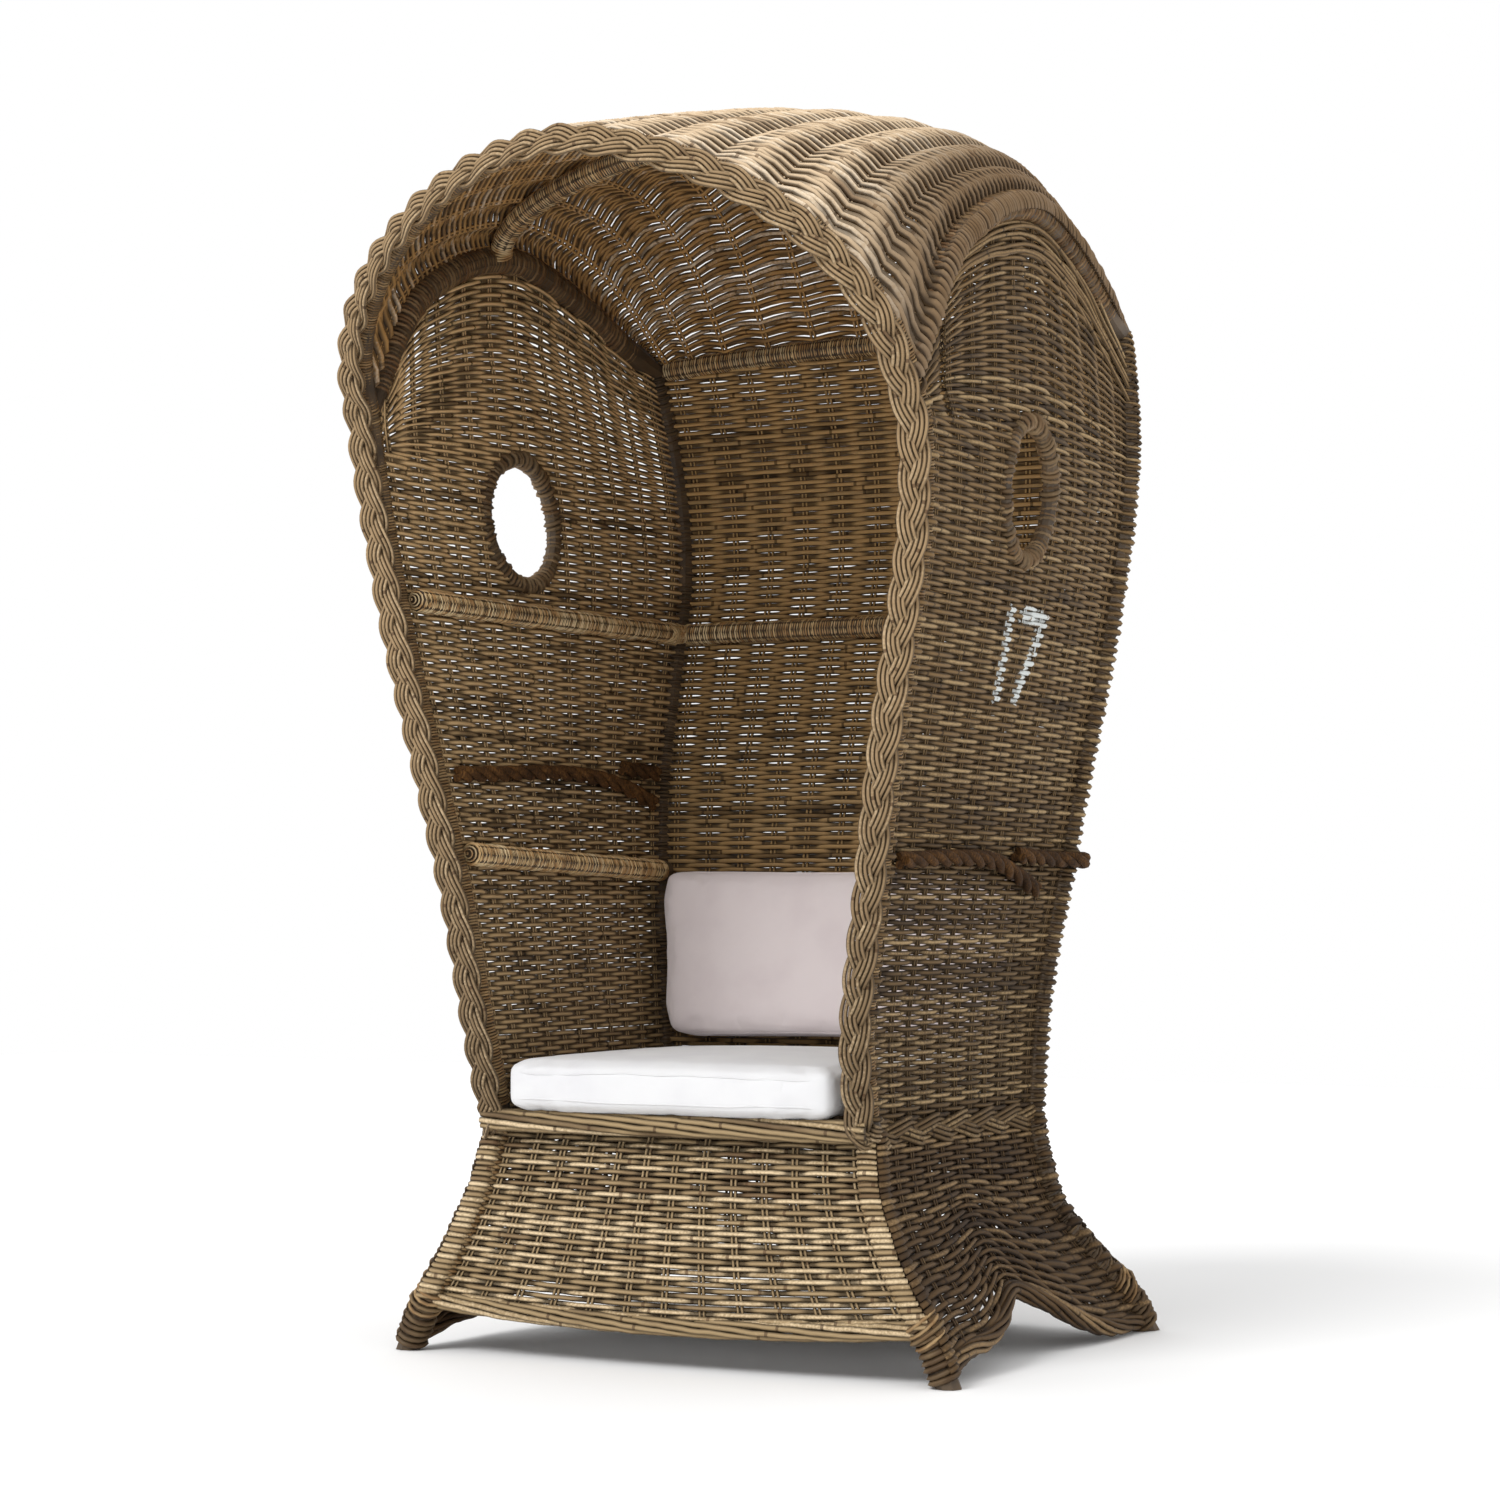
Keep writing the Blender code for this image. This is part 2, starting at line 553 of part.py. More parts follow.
def build_rails(grooves):
    """Rails inside the hood, laid in the weave."""
    stop_front = beside(HOOP_RADIUS, RAIL_INSET)
    stop_post = beside(LEG_RADIUS, RAIL_INSET)
    stop_rail = RAIL_INSET + RAIL_RADIUS + CLEARANCE
    inset = Vector((-RAIL_INSET, 0, 0))

    mid = [side_wall(s, MID_RAIL_HEIGHT) + inset for s in steps(0, 1, SIDE_STAKES)]
    low = [side_wall(s, mix(LOW_RAIL_FRONT_HEIGHT, LOW_RAIL_REAR_HEIGHT, s)) + inset
           for s in steps(0, 1, SIDE_STAKES)]
    mid = trim(mid, stop_front, stop_rail)
    low = trim(low, stop_front, stop_post)
    for side, flip in (("right", list), ("left", mirrored)):
        add_laid(f"side_mid_rail_{side}", flip(mid), RAIL_RADIUS, CANE, grooves[side])
        add_laid(f"side_low_rail_{side}", flip(low), RAIL_RADIUS, CANE, grooves[side])

    back = Vector((0, -RAIL_INSET, 0))
    line = [back_wall(a, MID_RAIL_HEIGHT) + back for a in (-1, 0, 1)]
    add_laid("back_mid_rail", trim(line, stop_post, stop_post), RAIL_RADIUS, CANE, grooves["back"])

    under = [roof(a, CROSS_HOOP_SHARE) - roof_outward(a, CROSS_HOOP_SHARE) * RAIL_INSET
             for a in steps(-1, 1, 2 * ROOF_STAKES)]
    stop_roll = beside(ARCH_ROLL_RADIUS, RAIL_INSET)
    add_laid("roof_cross_hoop", trim(under, stop_roll, stop_roll), RAIL_RADIUS, CANE, grooves["roof"])


def build_weave(cutters, grooves):
    """The woven panels, each cut clear of the poles that carry it and of what lies in it."""
    def side(s, t):
        return side_wall(s, mix(WAIST_HEIGHT, side_arch(s).z, t))

    def side_skirt(s, t):
        return skirt_side(s, mix(side_hem_height(s), WAIST_HEIGHT, t))

    for name, sign in (("right", 1), ("left", -1)):
        flip = Matrix.Diagonal((sign, 1, 1))
        wall = add_ribbed(f"side_panel_{name}", lambda s, t, f=flip: f @ side(s, t),
                          SIDE_STAKES, SIDE_ROWS, CANE)
        poles = (cutters["hoop"], cutters[name])
        cut(wall, *poles, cutters[f"waist_{name}"], porthole_cutter(name, sign), *grooves[name])
        skirt = add_ribbed(f"skirt_{name}", lambda s, t, f=flip: f @ side_skirt(s, t),
                           SIDE_STAKES, SKIRT_ROWS, DARK_CANE)
        cut(skirt, *poles, cutters[f"waist_{name}"], cutters[f"hem_{name}"])

    posts = (cutters["right"], cutters["left"])
    cover = add_shell("roof_panel", lambda a, t: fluted_roof(2 * a - 1, mix(ROOF_EDGE_SHARE, 1, t)),
                      ROOF_STAKES * ROOF_STEPS_PER_STAKE, ROOF_ROWS, PALE_CANE)
    cut(cover, cutters["hoop"], *posts, cutters["back_top"], *grooves["roof"])

    def back(a, t):
        across = 2 * a - 1
        top = mix(BACK_CORNER_HEIGHT, BACK_RAIL_HEIGHT, 1 - across**2)
        return back_wall(across, mix(WAIST_HEIGHT, min(top, BACK_CORNER_HEIGHT), t))

    wall = add_ribbed("back_panel", back, BACK_STAKES, BACK_ROWS, DARK_CANE)
    cut(wall, *posts, cutters["back_top"], cutters["waist_back"], *grooves["back"])

    def front_skirt(a, t):
        across = 2 * a - 1
        return skirt_front(across, mix(front_hem_height(across), WAIST_HEIGHT, t))

    def back_skirt(a, t):
        across = 2 * a - 1
        return skirt_back(across, mix(front_hem_height(across), WAIST_HEIGHT, t))

    skirt = add_ribbed("skirt_front", front_skirt, SKIRT_STAKES, SKIRT_ROWS, CANE)
    cut(skirt, cutters["hoop"], cutters["waist_front"], cutters["hem_front"])
    skirt = add_ribbed("skirt_back", back_skirt, SKIRT_STAKES, SKIRT_ROWS, CANE)
    cut(skirt, *posts, cutters["waist_back"], cutters["hem_back"])


def porthole_line(grow, count):
    angles = [2 * math.pi * i / count for i in range(count)]
    return [side_wall_at(PORTHOLE_Y + (PORTHOLE_HALF_WIDTH + grow) * math.cos(a),
                         PORTHOLE_HEIGHT + (PORTHOLE_HALF_HEIGHT + grow) * math.sin(a)) for a in angles]


def porthole_cutter(side, sign):
    """A plug through the hood's side, a gap larger than the porthole's ring."""
    bm = bmesh.new()
    reach = Vector((sign * PORTHOLE_HALF_WIDTH, 0, 0))
    line = porthole_line(PORTHOLE_RING_RADIUS + GAP, RING_STEPS)
    inner = [bm.verts.new(Vector((sign * p.x, p.y, p.z)) - reach) for p in line]
    outer = [bm.verts.new(Vector((sign * p.x, p.y, p.z)) + reach) for p in line]
    for k in range(RING_STEPS):
        n = (k + 1) % RING_STEPS
        bm.faces.new((inner[k], inner[n], outer[n], outer[k]))
    bm.faces.new(inner)
    bm.faces.new(outer)
    plug = add_object(f"porthole_{side}_cutter", bm, CANE)
    plug.hide_render = True
    plug.display_type = 'WIRE'
    return plug


def build_trim(cutters):
    """The plaited rim, the border over the front of the seat and the bound portholes."""
    add_pole("rim_braid", rim_path(), BRAID_RADIUS, PALE_CANE)
    for side, flip in (("right", list), ("left", mirrored)):
        ring = flip(porthole_line(0, RING_STEPS))
        add_pole(f"porthole_ring_{side}", ring, PORTHOLE_RING_RADIUS, closed=True)
    leg = front_pole(WAIST_HEIGHT)
    y = leg.y - WAIST_RAIL_RADIUS - SEAT_BORDER_RADIUS + SETTLE
    end = leg.x + SEAT_BORDER_OVERHANG
    line = [Vector((end * a, y, WAIST_HEIGHT)) for a in (-1, 0, 1)]
    border = add_pole("seat_border", line, SEAT_BORDER_RADIUS, PALE_CANE)
    cut(border, cutters["hoop"], cutters["waist_front"])


def rope_line(rows, height, drop, proud, lift=0):
    places = []
    for share, fall in rows:
        point = side_wall(share, height - drop * fall + lift)
        places.append(point + Vector((proud, 0, 0)))
    return places


def corner_run():
    """The outer rope's second run: along the side, round the corner post and on behind it."""
    line = rope_line(OUTER_RUN_SHARES, OUTER_ROPE_HEIGHT, OUTER_ROPE_DROP, ROPE_PROUD, ROPE_RUN_SPACING)
    height = line[-1].z
    post = rear_pole(height)
    for turn in steps(0, math.pi / 2, CORNER_STEPS):
        line.append(post + Vector((math.cos(turn), math.sin(turn), 0)) * ROPE_ROUND_POST)
    line.append(post + Vector((-ROPE_BACK_RUN / 2, mix(ROPE_PROUD, ROPE_ROUND_POST, 0.5), 0)))
    line.append(post + Vector((-ROPE_BACK_RUN, ROPE_PROUD, 0)))
    return line


def build_ropes(grooves):
    lines = {
        "outer_rope": rope_line(OUTER_ROPE_SHARES, OUTER_ROPE_HEIGHT, OUTER_ROPE_DROP, ROPE_PROUD),
        "inner_rope": rope_line(INNER_ROPE_SHARES, INNER_ROPE_HEIGHT, INNER_ROPE_DROP, -ROPE_PROUD),
        "inner_rope_end": rope_line(INNER_RUN_SHARES, INNER_ROPE_HEIGHT, INNER_ROPE_DROP, -ROPE_PROUD,
                                    ROPE_RUN_SPACING),
        "outer_rope_corner": corner_run()}
    for side, flip in (("right", list), ("left", mirrored)):
        for name, line in lines.items():
            add_laid(f"{name}_{side}", flip(line), ROPE_RADIUS, ROPE_BROWN, grooves[side])
        grooves["back"].append(grooves[side][-1])    # the corner's run lies in the back as well


# Seat

def build_slats():
    front = front_pole(WAIST_HEIGHT).y - WAIST_RAIL_RADIUS
    rear = REAR_WAIST_Y - WEAVE_HALF - CUSHION_EASE
    for number, place in enumerate(steps(-SLAT_SPREAD / 2, SLAT_SPREAD / 2, SLAT_COUNT - 1), 1):
        bm = bmesh.new()
        bmesh.ops.create_cube(bm, size=1)
        bmesh.ops.scale(bm, vec=(SLAT_WIDTH, rear - front, SLAT_THICKNESS), verts=bm.verts)
        slat = add_object(f"seat_slat_{number}", bm, CANE)
        slat.location = (place, (front + rear) / 2, (SLAT_BOTTOM + SLAT_TOP) / 2)


def add_cushion(name, near_half, far_half, length, thickness, crown, colour):
    """A boxed cushion with a flat underside at 0, drawn-in sides, and its crown on top."""
    bm = bmesh.new()
    bmesh.ops.create_cube(bm, size=2)
    bmesh.ops.subdivide_edges(bm, edges=bm.edges, cuts=CUSHION_CUTS, use_grid_fill=True)
    for v in bm.verts:
        a, b, c = v.co
        half = mix(near_half, far_half, (b + 1) / 2)
        x = a * (half - CUSHION_PULL * (1 - b * b)) * math.sqrt(1 - CUSHION_CORNER_SHARE * b**6)
        y = b * (length / 2 - CUSHION_PULL * (1 - a * a)) * math.sqrt(1 - CUSHION_CORNER_SHARE * a**6)
        top = thickness + crown * (1 - a * a) * (1 - b * b)
        v.co = Vector((x, y, top * (c + 1) / 2))
    item = add_object(name, bm, colour, CLOTH_ROUGHNESS)
    bevel = item.modifiers.new("edge", 'BEVEL')
    bevel.width = CUSHION_EDGE_ROUND
    bevel.segments = 2
    bevel.limit_method = 'ANGLE'
    bevel.angle_limit = SHARP_ANGLE
    return item


def build_cushions():
    rear = REAR_WAIST_Y - WEAVE_HALF - CUSHION_EASE
    length = rear - SEAT_CUSHION_FRONT_Y
    seat = add_cushion("seat_cushion", SEAT_CUSHION_FRONT_HALF, SEAT_CUSHION_REAR_HALF, length,
                       SEAT_CUSHION_THICKNESS, SEAT_CUSHION_CROWN, WHITE_CLOTH)
    seat.location = (0, (SEAT_CUSHION_FRONT_Y + rear) / 2, SLAT_TOP + GAP)

    foot = SLAT_TOP + GAP + SEAT_CUSHION_THICKNESS + SEAT_CUSHION_CROWN
    head = foot + BACK_CUSHION_HEIGHT
    low, high = rear_pole(foot), rear_pole(head)
    lean = math.atan2(high.y - low.y, head - foot)
    back = add_cushion("back_cushion", BACK_CUSHION_FOOT_HALF, BACK_CUSHION_TOP_HALF, BACK_CUSHION_HEIGHT,
                       BACK_CUSHION_THICKNESS, BACK_CUSHION_CROWN, ROSE_CLOTH)
    back.rotation_euler = (math.pi / 2 - lean, 0, 0)
    rows = [z for z in steps(WAIST_HEIGHT, BACK_CORNER_HEIGHT, BACK_ROWS) if foot < z < head]
    nearest = min(rear_pole(z).y - mix(low.y, high.y, (z - foot) / (head - foot)) for z in rows)
    offset = WEAVE_HALF + GAP - nearest
    back.location = (0, (low.y + high.y) / 2 - offset, (foot + head) / 2 + CUSHION_EASE)


def clear_scene():
    for item in list(bpy.data.objects):
        bpy.data.objects.remove(item, do_unlink=True)


def main():
    clear_scene()
    cutters = build_frame()
    grooves = {"right": [], "left": [], "back": [], "roof": []}
    build_rails(grooves)
    build_ropes(grooves)
    build_weave(cutters, grooves)
    build_trim(cutters)
    build_slats()
    build_cushions()


main()
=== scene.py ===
import functools
import json
import math

import bmesh
import bpy
import numpy as np
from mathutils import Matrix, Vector

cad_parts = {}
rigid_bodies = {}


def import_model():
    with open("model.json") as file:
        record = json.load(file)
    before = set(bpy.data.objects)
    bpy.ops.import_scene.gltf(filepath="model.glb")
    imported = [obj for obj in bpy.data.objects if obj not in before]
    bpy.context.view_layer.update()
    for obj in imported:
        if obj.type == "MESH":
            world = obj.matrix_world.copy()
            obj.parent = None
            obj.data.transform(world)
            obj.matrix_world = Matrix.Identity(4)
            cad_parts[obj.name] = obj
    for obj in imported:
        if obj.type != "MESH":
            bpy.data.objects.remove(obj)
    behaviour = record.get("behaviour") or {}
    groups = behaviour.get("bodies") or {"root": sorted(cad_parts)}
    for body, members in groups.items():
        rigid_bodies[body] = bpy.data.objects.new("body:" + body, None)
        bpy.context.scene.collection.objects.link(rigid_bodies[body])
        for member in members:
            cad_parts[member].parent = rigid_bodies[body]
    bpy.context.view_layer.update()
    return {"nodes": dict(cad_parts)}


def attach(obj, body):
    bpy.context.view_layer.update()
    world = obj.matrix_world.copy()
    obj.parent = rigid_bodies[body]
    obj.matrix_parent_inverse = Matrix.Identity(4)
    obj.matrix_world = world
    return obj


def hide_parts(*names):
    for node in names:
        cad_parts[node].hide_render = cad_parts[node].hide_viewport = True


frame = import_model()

print("stage: frame loaded")

# The frame's own lines, which the weave follows; a pair is half the width and the place front to rear
lines = dict(
    halfDepth=0.5315, waist=0.322, spring=1.30, rimTop=1.607, sideArchTop=1.581, backCorner=1.47,
    backRail=1.485, roofTop=1.746, rimWaist=(0.287, -0.197), rimSpring=(0.420, -0.342),
    rearWaist=(0.304, 0.331), rearTopHalf=0.393, frontFoot=(0.420, -0.207), rearFoot=(0.425, 0.485),
    sideBulge=0.014, skirtBow=0.015, braidRadius=0.0185, hoopRadius=0.012, legRadius=0.017,
    rollRadius=0.020, railRadius=0.016, ropeRadius=0.0125, weaveHalf=0.006, gap=0.0003, settle=0.003,
    hemRadius=0.014, frontHemLift=0.044, frontHemSag=0.015, sideHemArch=0.080, hemFloorGap=0.002,
    roofFrontSlope=0.25, archPointPower=1.18)
waist, spring = lines["waist"], lines["spring"]
setback = lines["braidRadius"] + lines["hoopRadius"] + lines["gap"]
rimNoseY = -(lines["halfDepth"] - lines["braidRadius"])
rearTop = (lines["rearTopHalf"], lines["halfDepth"] - lines["legRadius"])

# Height from waist to springing, then the share of the half-width and of the way forward
rimSideShares = ((0, 0, 0), (0.14, 0.06, 0.23), (0.325, 0.26, 0.33), (0.51, 0.50, 0.49),
                 (0.69, 0.77, 0.61), (0.82, 0.93, 0.68), (0.94, 1.0, 0.83), (1, 0.95, 1))
# Height from waist to back corner, then the share of the half-width and of the way back
rearPostShares = ((0, 0, 0), (0.155, 0.12, 0.04), (0.295, 0.34, 0.19), (0.435, 0.52, 0.38),
                  (0.575, 0.64, 0.69), (0.71, 0.72, 0.95), (0.785, 0.81, 1), (0.85, 0.89, 0.98),
                  (0.92, 0.95, 0.87), (1, 1, 0.67))
# Height from floor to waist, then the share of the way out and of the way forward or back
frontLegShares = ((0, 1, 1), (0.18, 0.81, 0.95), (0.33, 0.59, 0.88), (0.46, 0.41, 0.80),
                  (0.61, 0.25, 0.66), (0.75, 0.12, 0.5), (0.93, 0.04, 0.2), (1, 0, 0))
rearLegShares = ((0, 1, 1), (0.17, 0.86, 0.77), (0.33, 0.63, 0.45), (0.48, 0.41, 0.20),
                 (0.62, 0.21, 0.08), (0.88, 0.05, 0.01), (1, 0, 0))
# Place from rim to back corner, then the share of the rise from the springing to the arch's top
sideArchShares = ((0, 0), (0.112, 0.552), (0.257, 0.836), (0.408, 0.979), (0.54, 1),
                  (0.727, 0.87), (0.865, 0.72), (1, 0.605))
# Place from rim to back rail, then the share of the way back and of the roof's rise
roofRidgeShares = ((0.2, 0.22, 0.70), (0.4, 0.434, 0.887), (0.55, 0.594, 0.99),
                   (0.7, 0.744, 0.965), (0.85, 0.882, 0.68))
# Place from front leg to rear leg, then the share of the hem's arch
sideHemShares = ((0, 0), (0.12, 0.27), (0.235, 0.36), (0.33, 0.57), (0.445, 0.95), (0.49, 1),
                 (0.58, 0.75), (0.69, 0.31), (0.81, 0.04), (1, 0))


def smooth(rows, at):  # a smooth curve through rows of (place, value, value ...)
    last = len(rows) - 1
    index = min(max(sum(row[0] <= at for row in rows) - 1, 0), last - 1)
    near, far = rows[index], rows[index + 1]
    before, after = rows[max(index - 1, 0)], rows[min(index + 2, last)]
    span = far[0] - near[0]
    t = (at - near[0]) / span
    values = []
    for k in range(1, len(near)):
        leave = (far[k] - before[k]) / (far[0] - before[0]) * span
        reach = (after[k] - near[k]) / (after[0] - near[0]) * span
        values.append((2 * t**3 - 3 * t**2 + 1) * near[k] + (t**3 - 2 * t**2 + t) * leave
                      + (3 * t**2 - 2 * t**3) * far[k] + (t**3 - t**2) * reach)
    return values


def mix(a, b, share):
    return a + (b - a) * share


def between(a, b, share):
    return np.array([mix(p, q, share) for p, q in zip(a, b)])


def steps(first, last, count):
    return [mix(first, last, i / count) for i in range(count + 1)]


def bent(rows, share, near, far, height):  # a point of a bent pole that goes from one place to another
    out, along = smooth(rows, min(share, 1))
    return (mix(near[0], far[0], out), mix(near[1], far[1], along), height)


@functools.lru_cache(maxsize=None)
def rimSide(height):
    return bent(rimSideShares, (height - waist) / (spring - waist), lines["rimWaist"], lines["rimSpring"],
                height)


@functools.lru_cache(maxsize=None)
def frontPole(height):
    if height >= waist:
        x, y, z = rimSide(height)
        return (x, y + setback, height)
    return bent(frontLegShares, height / waist, frontPole(waist), lines["frontFoot"], height)


@functools.lru_cache(maxsize=None)
def rearPole(height):
    if height >= waist:
        share = (height - waist) / (lines["backCorner"] - waist)
        return bent(rearPostShares, share, lines["rearWaist"], rearTop, height)
    return bent(rearLegShares, height / waist, lines["rearWaist"], lines["rearFoot"], height)


def archOut(angle):  # the arch is a little pointed
    return math.copysign(abs(math.sin(angle)) ** lines["archPointPower"], math.sin(angle))


def rimArch(angle):
    x, y, z = rimSide(spring)
    rise = math.cos(angle)
    return np.array((x * archOut(angle), mix(y, rimNoseY, rise), mix(spring, lines["rimTop"], rise)))


def skirtSide(share, height):
    return between(frontPole(height), rearPole(height), share)


def sideWall(share, height):
    point = skirtSide(share, height)
    fullness = min(max((height - waist) / (spring - waist), 0), 1)
    point[0] += lines["sideBulge"] * 4 * share * (1 - share) * fullness
    return point


def sideArch(share):
    return sideWall(share, mix(spring, lines["sideArchTop"], smooth(sideArchShares, share)[0]))


def roofRidge(share):
    nose, slope = rimArch(0), lines["roofFrontSlope"]
    lean = math.hypot(1, slope)
    frontY, frontZ = nose[1] + setback / lean, nose[2] + setback * slope / lean
    rearY, rearZ = rearPole(lines["backCorner"])[1], lines["backRail"]
    rows = [(s, mix(frontY, rearY, back), mix(rearZ, lines["roofTop"], rise))
            for s, back, rise in roofRidgeShares]
    return smooth([(0, frontY, frontZ), *rows, (1, rearY, rearZ)], share)


def roof(across, share):  # across from -1 on the left roll to 1 on the right one
    angle = across * math.pi / 2
    side, ridge = sideArch(share), roofRidge(share)
    rise = math.cos(angle)
    return np.array((side[0] * archOut(angle), mix(side[1], ridge[0], rise), mix(side[2], ridge[1], rise)))


def backWall(across, height):
    x, y, z = rearPole(height)
    return np.array((x * across, y, height))


def skirtFace(pole, way):  # bowed forwards or backwards at its foot
    def face(across, height):
        x, y, z = pole(height)
        bow = lines["skirtBow"] * (1 - across**2) * (1 - height / waist)
        return np.array((x * across, y + way * bow, height))
    return face


skirtFront, skirtBack = skirtFace(frontPole, -1), skirtFace(rearPole, 1)


def frontHemHeight(across):
    return lines["frontHemLift"] + lines["hemRadius"] + lines["frontHemSag"] * across**2


def sideHemHeight(share):
    return (lines["hemFloorGap"] + lines["hemRadius"]
            + lines["sideHemArch"] * smooth(sideHemShares, share)[0])


# Making strands
def unit(vectors):
    return vectors / np.linalg.norm(vectors, axis=-1, keepdims=True)


def lengthAlong(line):
    return np.concatenate(([0], np.cumsum(np.linalg.norm(np.diff(line, axis=0), axis=1))))


def surfaceGrid(surface, columns, rows):  # points and outward directions of surface(u, v), 0 to 1
    points = np.array([[surface(i / columns, j / rows) for i in range(columns + 1)]
                       for j in range(rows + 1)])
    outward = np.cross(np.gradient(points, axis=1), np.gradient(points, axis=0))
    return points, outward / (np.linalg.norm(outward, axis=2, keepdims=True) + 1e-12)


def mirrored(points):
    return np.asarray(points) * np.array((-1, 1, 1))


def added(name, data):
    item = bpy.data.objects.new(name, data)
    bpy.context.scene.collection.objects.link(item)
    return item


class Guides:  # lines for strands to follow, each point with what the node trees read
    def __init__(self):
        self.points, self.edges = [], []
        self.outward, self.wave, self.tone, self.along, self.girth = [], [], [], [], []

    def add(self, points, outward, tone=0.5, wave=0.0, girth=1.0, closed=False):
        points = np.asarray(points, float)
        count, first = len(points), len(self.points)
        if count < 2:
            return
        self.points.extend(points)
        self.edges.extend((first + i, first + i + 1) for i in range(count - 1))
        if closed:
            self.edges.append((first + count - 1, first))
        self.outward.extend(np.broadcast_to(outward, (count, 3)))
        self.wave.extend(np.broadcast_to(wave, count))
        self.girth.extend(np.broadcast_to(girth, count))
        self.tone.extend([tone] * count)
        self.along.extend(lengthAlong(points))

    def build(self, name):
        mesh = bpy.data.meshes.new(name)
        mesh.from_pydata([tuple(p) for p in self.points], self.edges, [])
        vectors = mesh.attributes.new("outward", 'FLOAT_VECTOR', 'POINT')
        vectors.data.foreach_set("vector", np.array(self.outward, np.float32).ravel())
        for key in ("wave", "tone", "along", "girth"):
            values = mesh.attributes.new(key, 'FLOAT', 'POINT')
            values.data.foreach_set("value", np.array(getattr(self, key), np.float32))
        return added(name, mesh)


def socketName(key):  # caneRadius is the socket Cane Radius
    label = "".join(" " + c if c.isupper() else c for c in key)
    return label[0].upper() + label[1:]


class Nodes:  # adds nodes to a tree
    def __init__(self, tree):
        self.tree = tree

    def node(self, kind, links=None, stops=None, **settings):
        node = self.tree.nodes.new(kind)
        for key, value in settings.items():
            setattr(node, key, value)
        if stops:
            ramp = node.color_ramp
            while len(ramp.elements) < len(stops):
                ramp.elements.new(0.5)
            for element, (at, colour) in zip(ramp.elements, stops):
                element.position = at
                element.color = (*colour, 1)
        for key, value in (links or {}).items():
            self.feed(node.inputs[key], value)
        return node

    def out(self, kind, links=None, **settings):
        return self.node(kind, links, **settings).outputs[0]

    def feed(self, socket, value):
        value = value.socket if isinstance(value, Channel) else value
        if isinstance(value, bpy.types.NodeSocket):
            self.tree.links.new(value, socket)
        else:
            socket.default_value = value


class Tree(Nodes):  # a Geometry Nodes tree with named inputs
    def __init__(self, name, **sizes):
        super().__init__(bpy.data.node_groups.new(name, 'GeometryNodeTree'))
        face = self.tree.interface
        face.new_socket("Geometry", in_out='OUTPUT', socket_type='NodeSocketGeometry')
        face.new_socket("Geometry", in_out='INPUT', socket_type='NodeSocketGeometry')
        material = face.new_socket("Material", in_out='INPUT', socket_type='NodeSocketMaterial')
        self.ids = dict(material=material.identifier)
        for key, value in sizes.items():
            kind = 'NodeSocketInt' if isinstance(value, int) else 'NodeSocketFloat'
            socket = face.new_socket(socketName(key), in_out='INPUT', socket_type=kind)
            socket.default_value = value
            self.ids[key] = socket.identifier
        self.start = self.tree.nodes.new('NodeGroupInput').outputs
        self.end = self.tree.nodes.new('NodeGroupOutput').inputs

    def named(self, key, kind='FLOAT'):
        node = self.node('GeometryNodeInputNamedAttribute', {"Name": key}, data_type=kind)
        return node.outputs["Attribute"]

    def maths(self, operation, a, b=0.0):
        return self.out('ShaderNodeMath', {0: a, 1: b}, operation=operation)

    def vectors(self, operation, a, b=None, scale=None):
        links = {0: a, 1: b, "Scale": scale}
        node = self.node('ShaderNodeVectorMath', {k: v for k, v in links.items() if v is not None},
                         operation=operation)
        return node.outputs["Value" if operation == 'DOT_PRODUCT' else "Vector"]

    def facing(self, vector):  # how far each face looks that way
        return self.vectors('DOT_PRODUCT', self.out('GeometryNodeInputNormal'), vector)

    def circle(self, sides, radius):
        return self.out('GeometryNodeCurvePrimitiveCircle', {"Resolution": sides, "Radius": radius},
                        mode='RADIUS')

    def store(self, geometry, key, value, domain='POINT'):
        links = {"Geometry": geometry, "Name": key, "Value": value}
        return self.out('GeometryNodeStoreNamedAttribute', links, data_type='FLOAT', domain=domain)

    def finish(self, geometry):  # sun is 1 where a face looks out of the chair and -1 inside
        stored = self.store(geometry, "sun", self.facing(self.named("outward", 'FLOAT_VECTOR')))
        softened = self.out('GeometryNodeSetShadeSmooth', {"Geometry": stored})
        whole = self.out('GeometryNodeRealizeInstances', {"Geometry": softened})
        self.tree.links.new(self.out('GeometryNodeSetMaterial', {
            "Geometry": whole, "Material": self.start["Material"]}), self.end["Geometry"])
        return self


def strandTree():  # a round cane along every line, waved in and out between its stakes
    t = Tree("strands", caneRadius=0.003, caneSides=5, weaveDepth=0.0, unevenness=0.0006)
    noise = t.node('ShaderNodeTexNoise', {"W": t.maths('MULTIPLY', t.named("tone"), 97.0), "Scale": 34.0,
                                          "Detail": 1.0}, noise_dimensions='4D').outputs["Color"]
    stray = t.vectors('SCALE', t.vectors('SUBTRACT', noise, (0.5, 0.5, 0.5)), scale=t.start["Unevenness"])
    over = t.vectors('SCALE', t.named("outward", 'FLOAT_VECTOR'),
                     scale=t.maths('MULTIPLY', t.named("wave"), t.start["Weave Depth"]))
    moved = t.out('GeometryNodeSetPosition', {"Geometry": t.start["Geometry"],
                                              "Offset": t.vectors('ADD', over, stray)})
    return t.finish(t.out('GeometryNodeCurveToMesh', {
        "Curve": t.out('GeometryNodeMeshToCurve', {"Mesh": moved}), "Fill Caps": True,
        "Profile Curve": t.circle(t.start["Cane Sides"], 1.0),
        "Scale": t.maths('MULTIPLY', t.named("girth"), t.start["Cane Radius"])}))


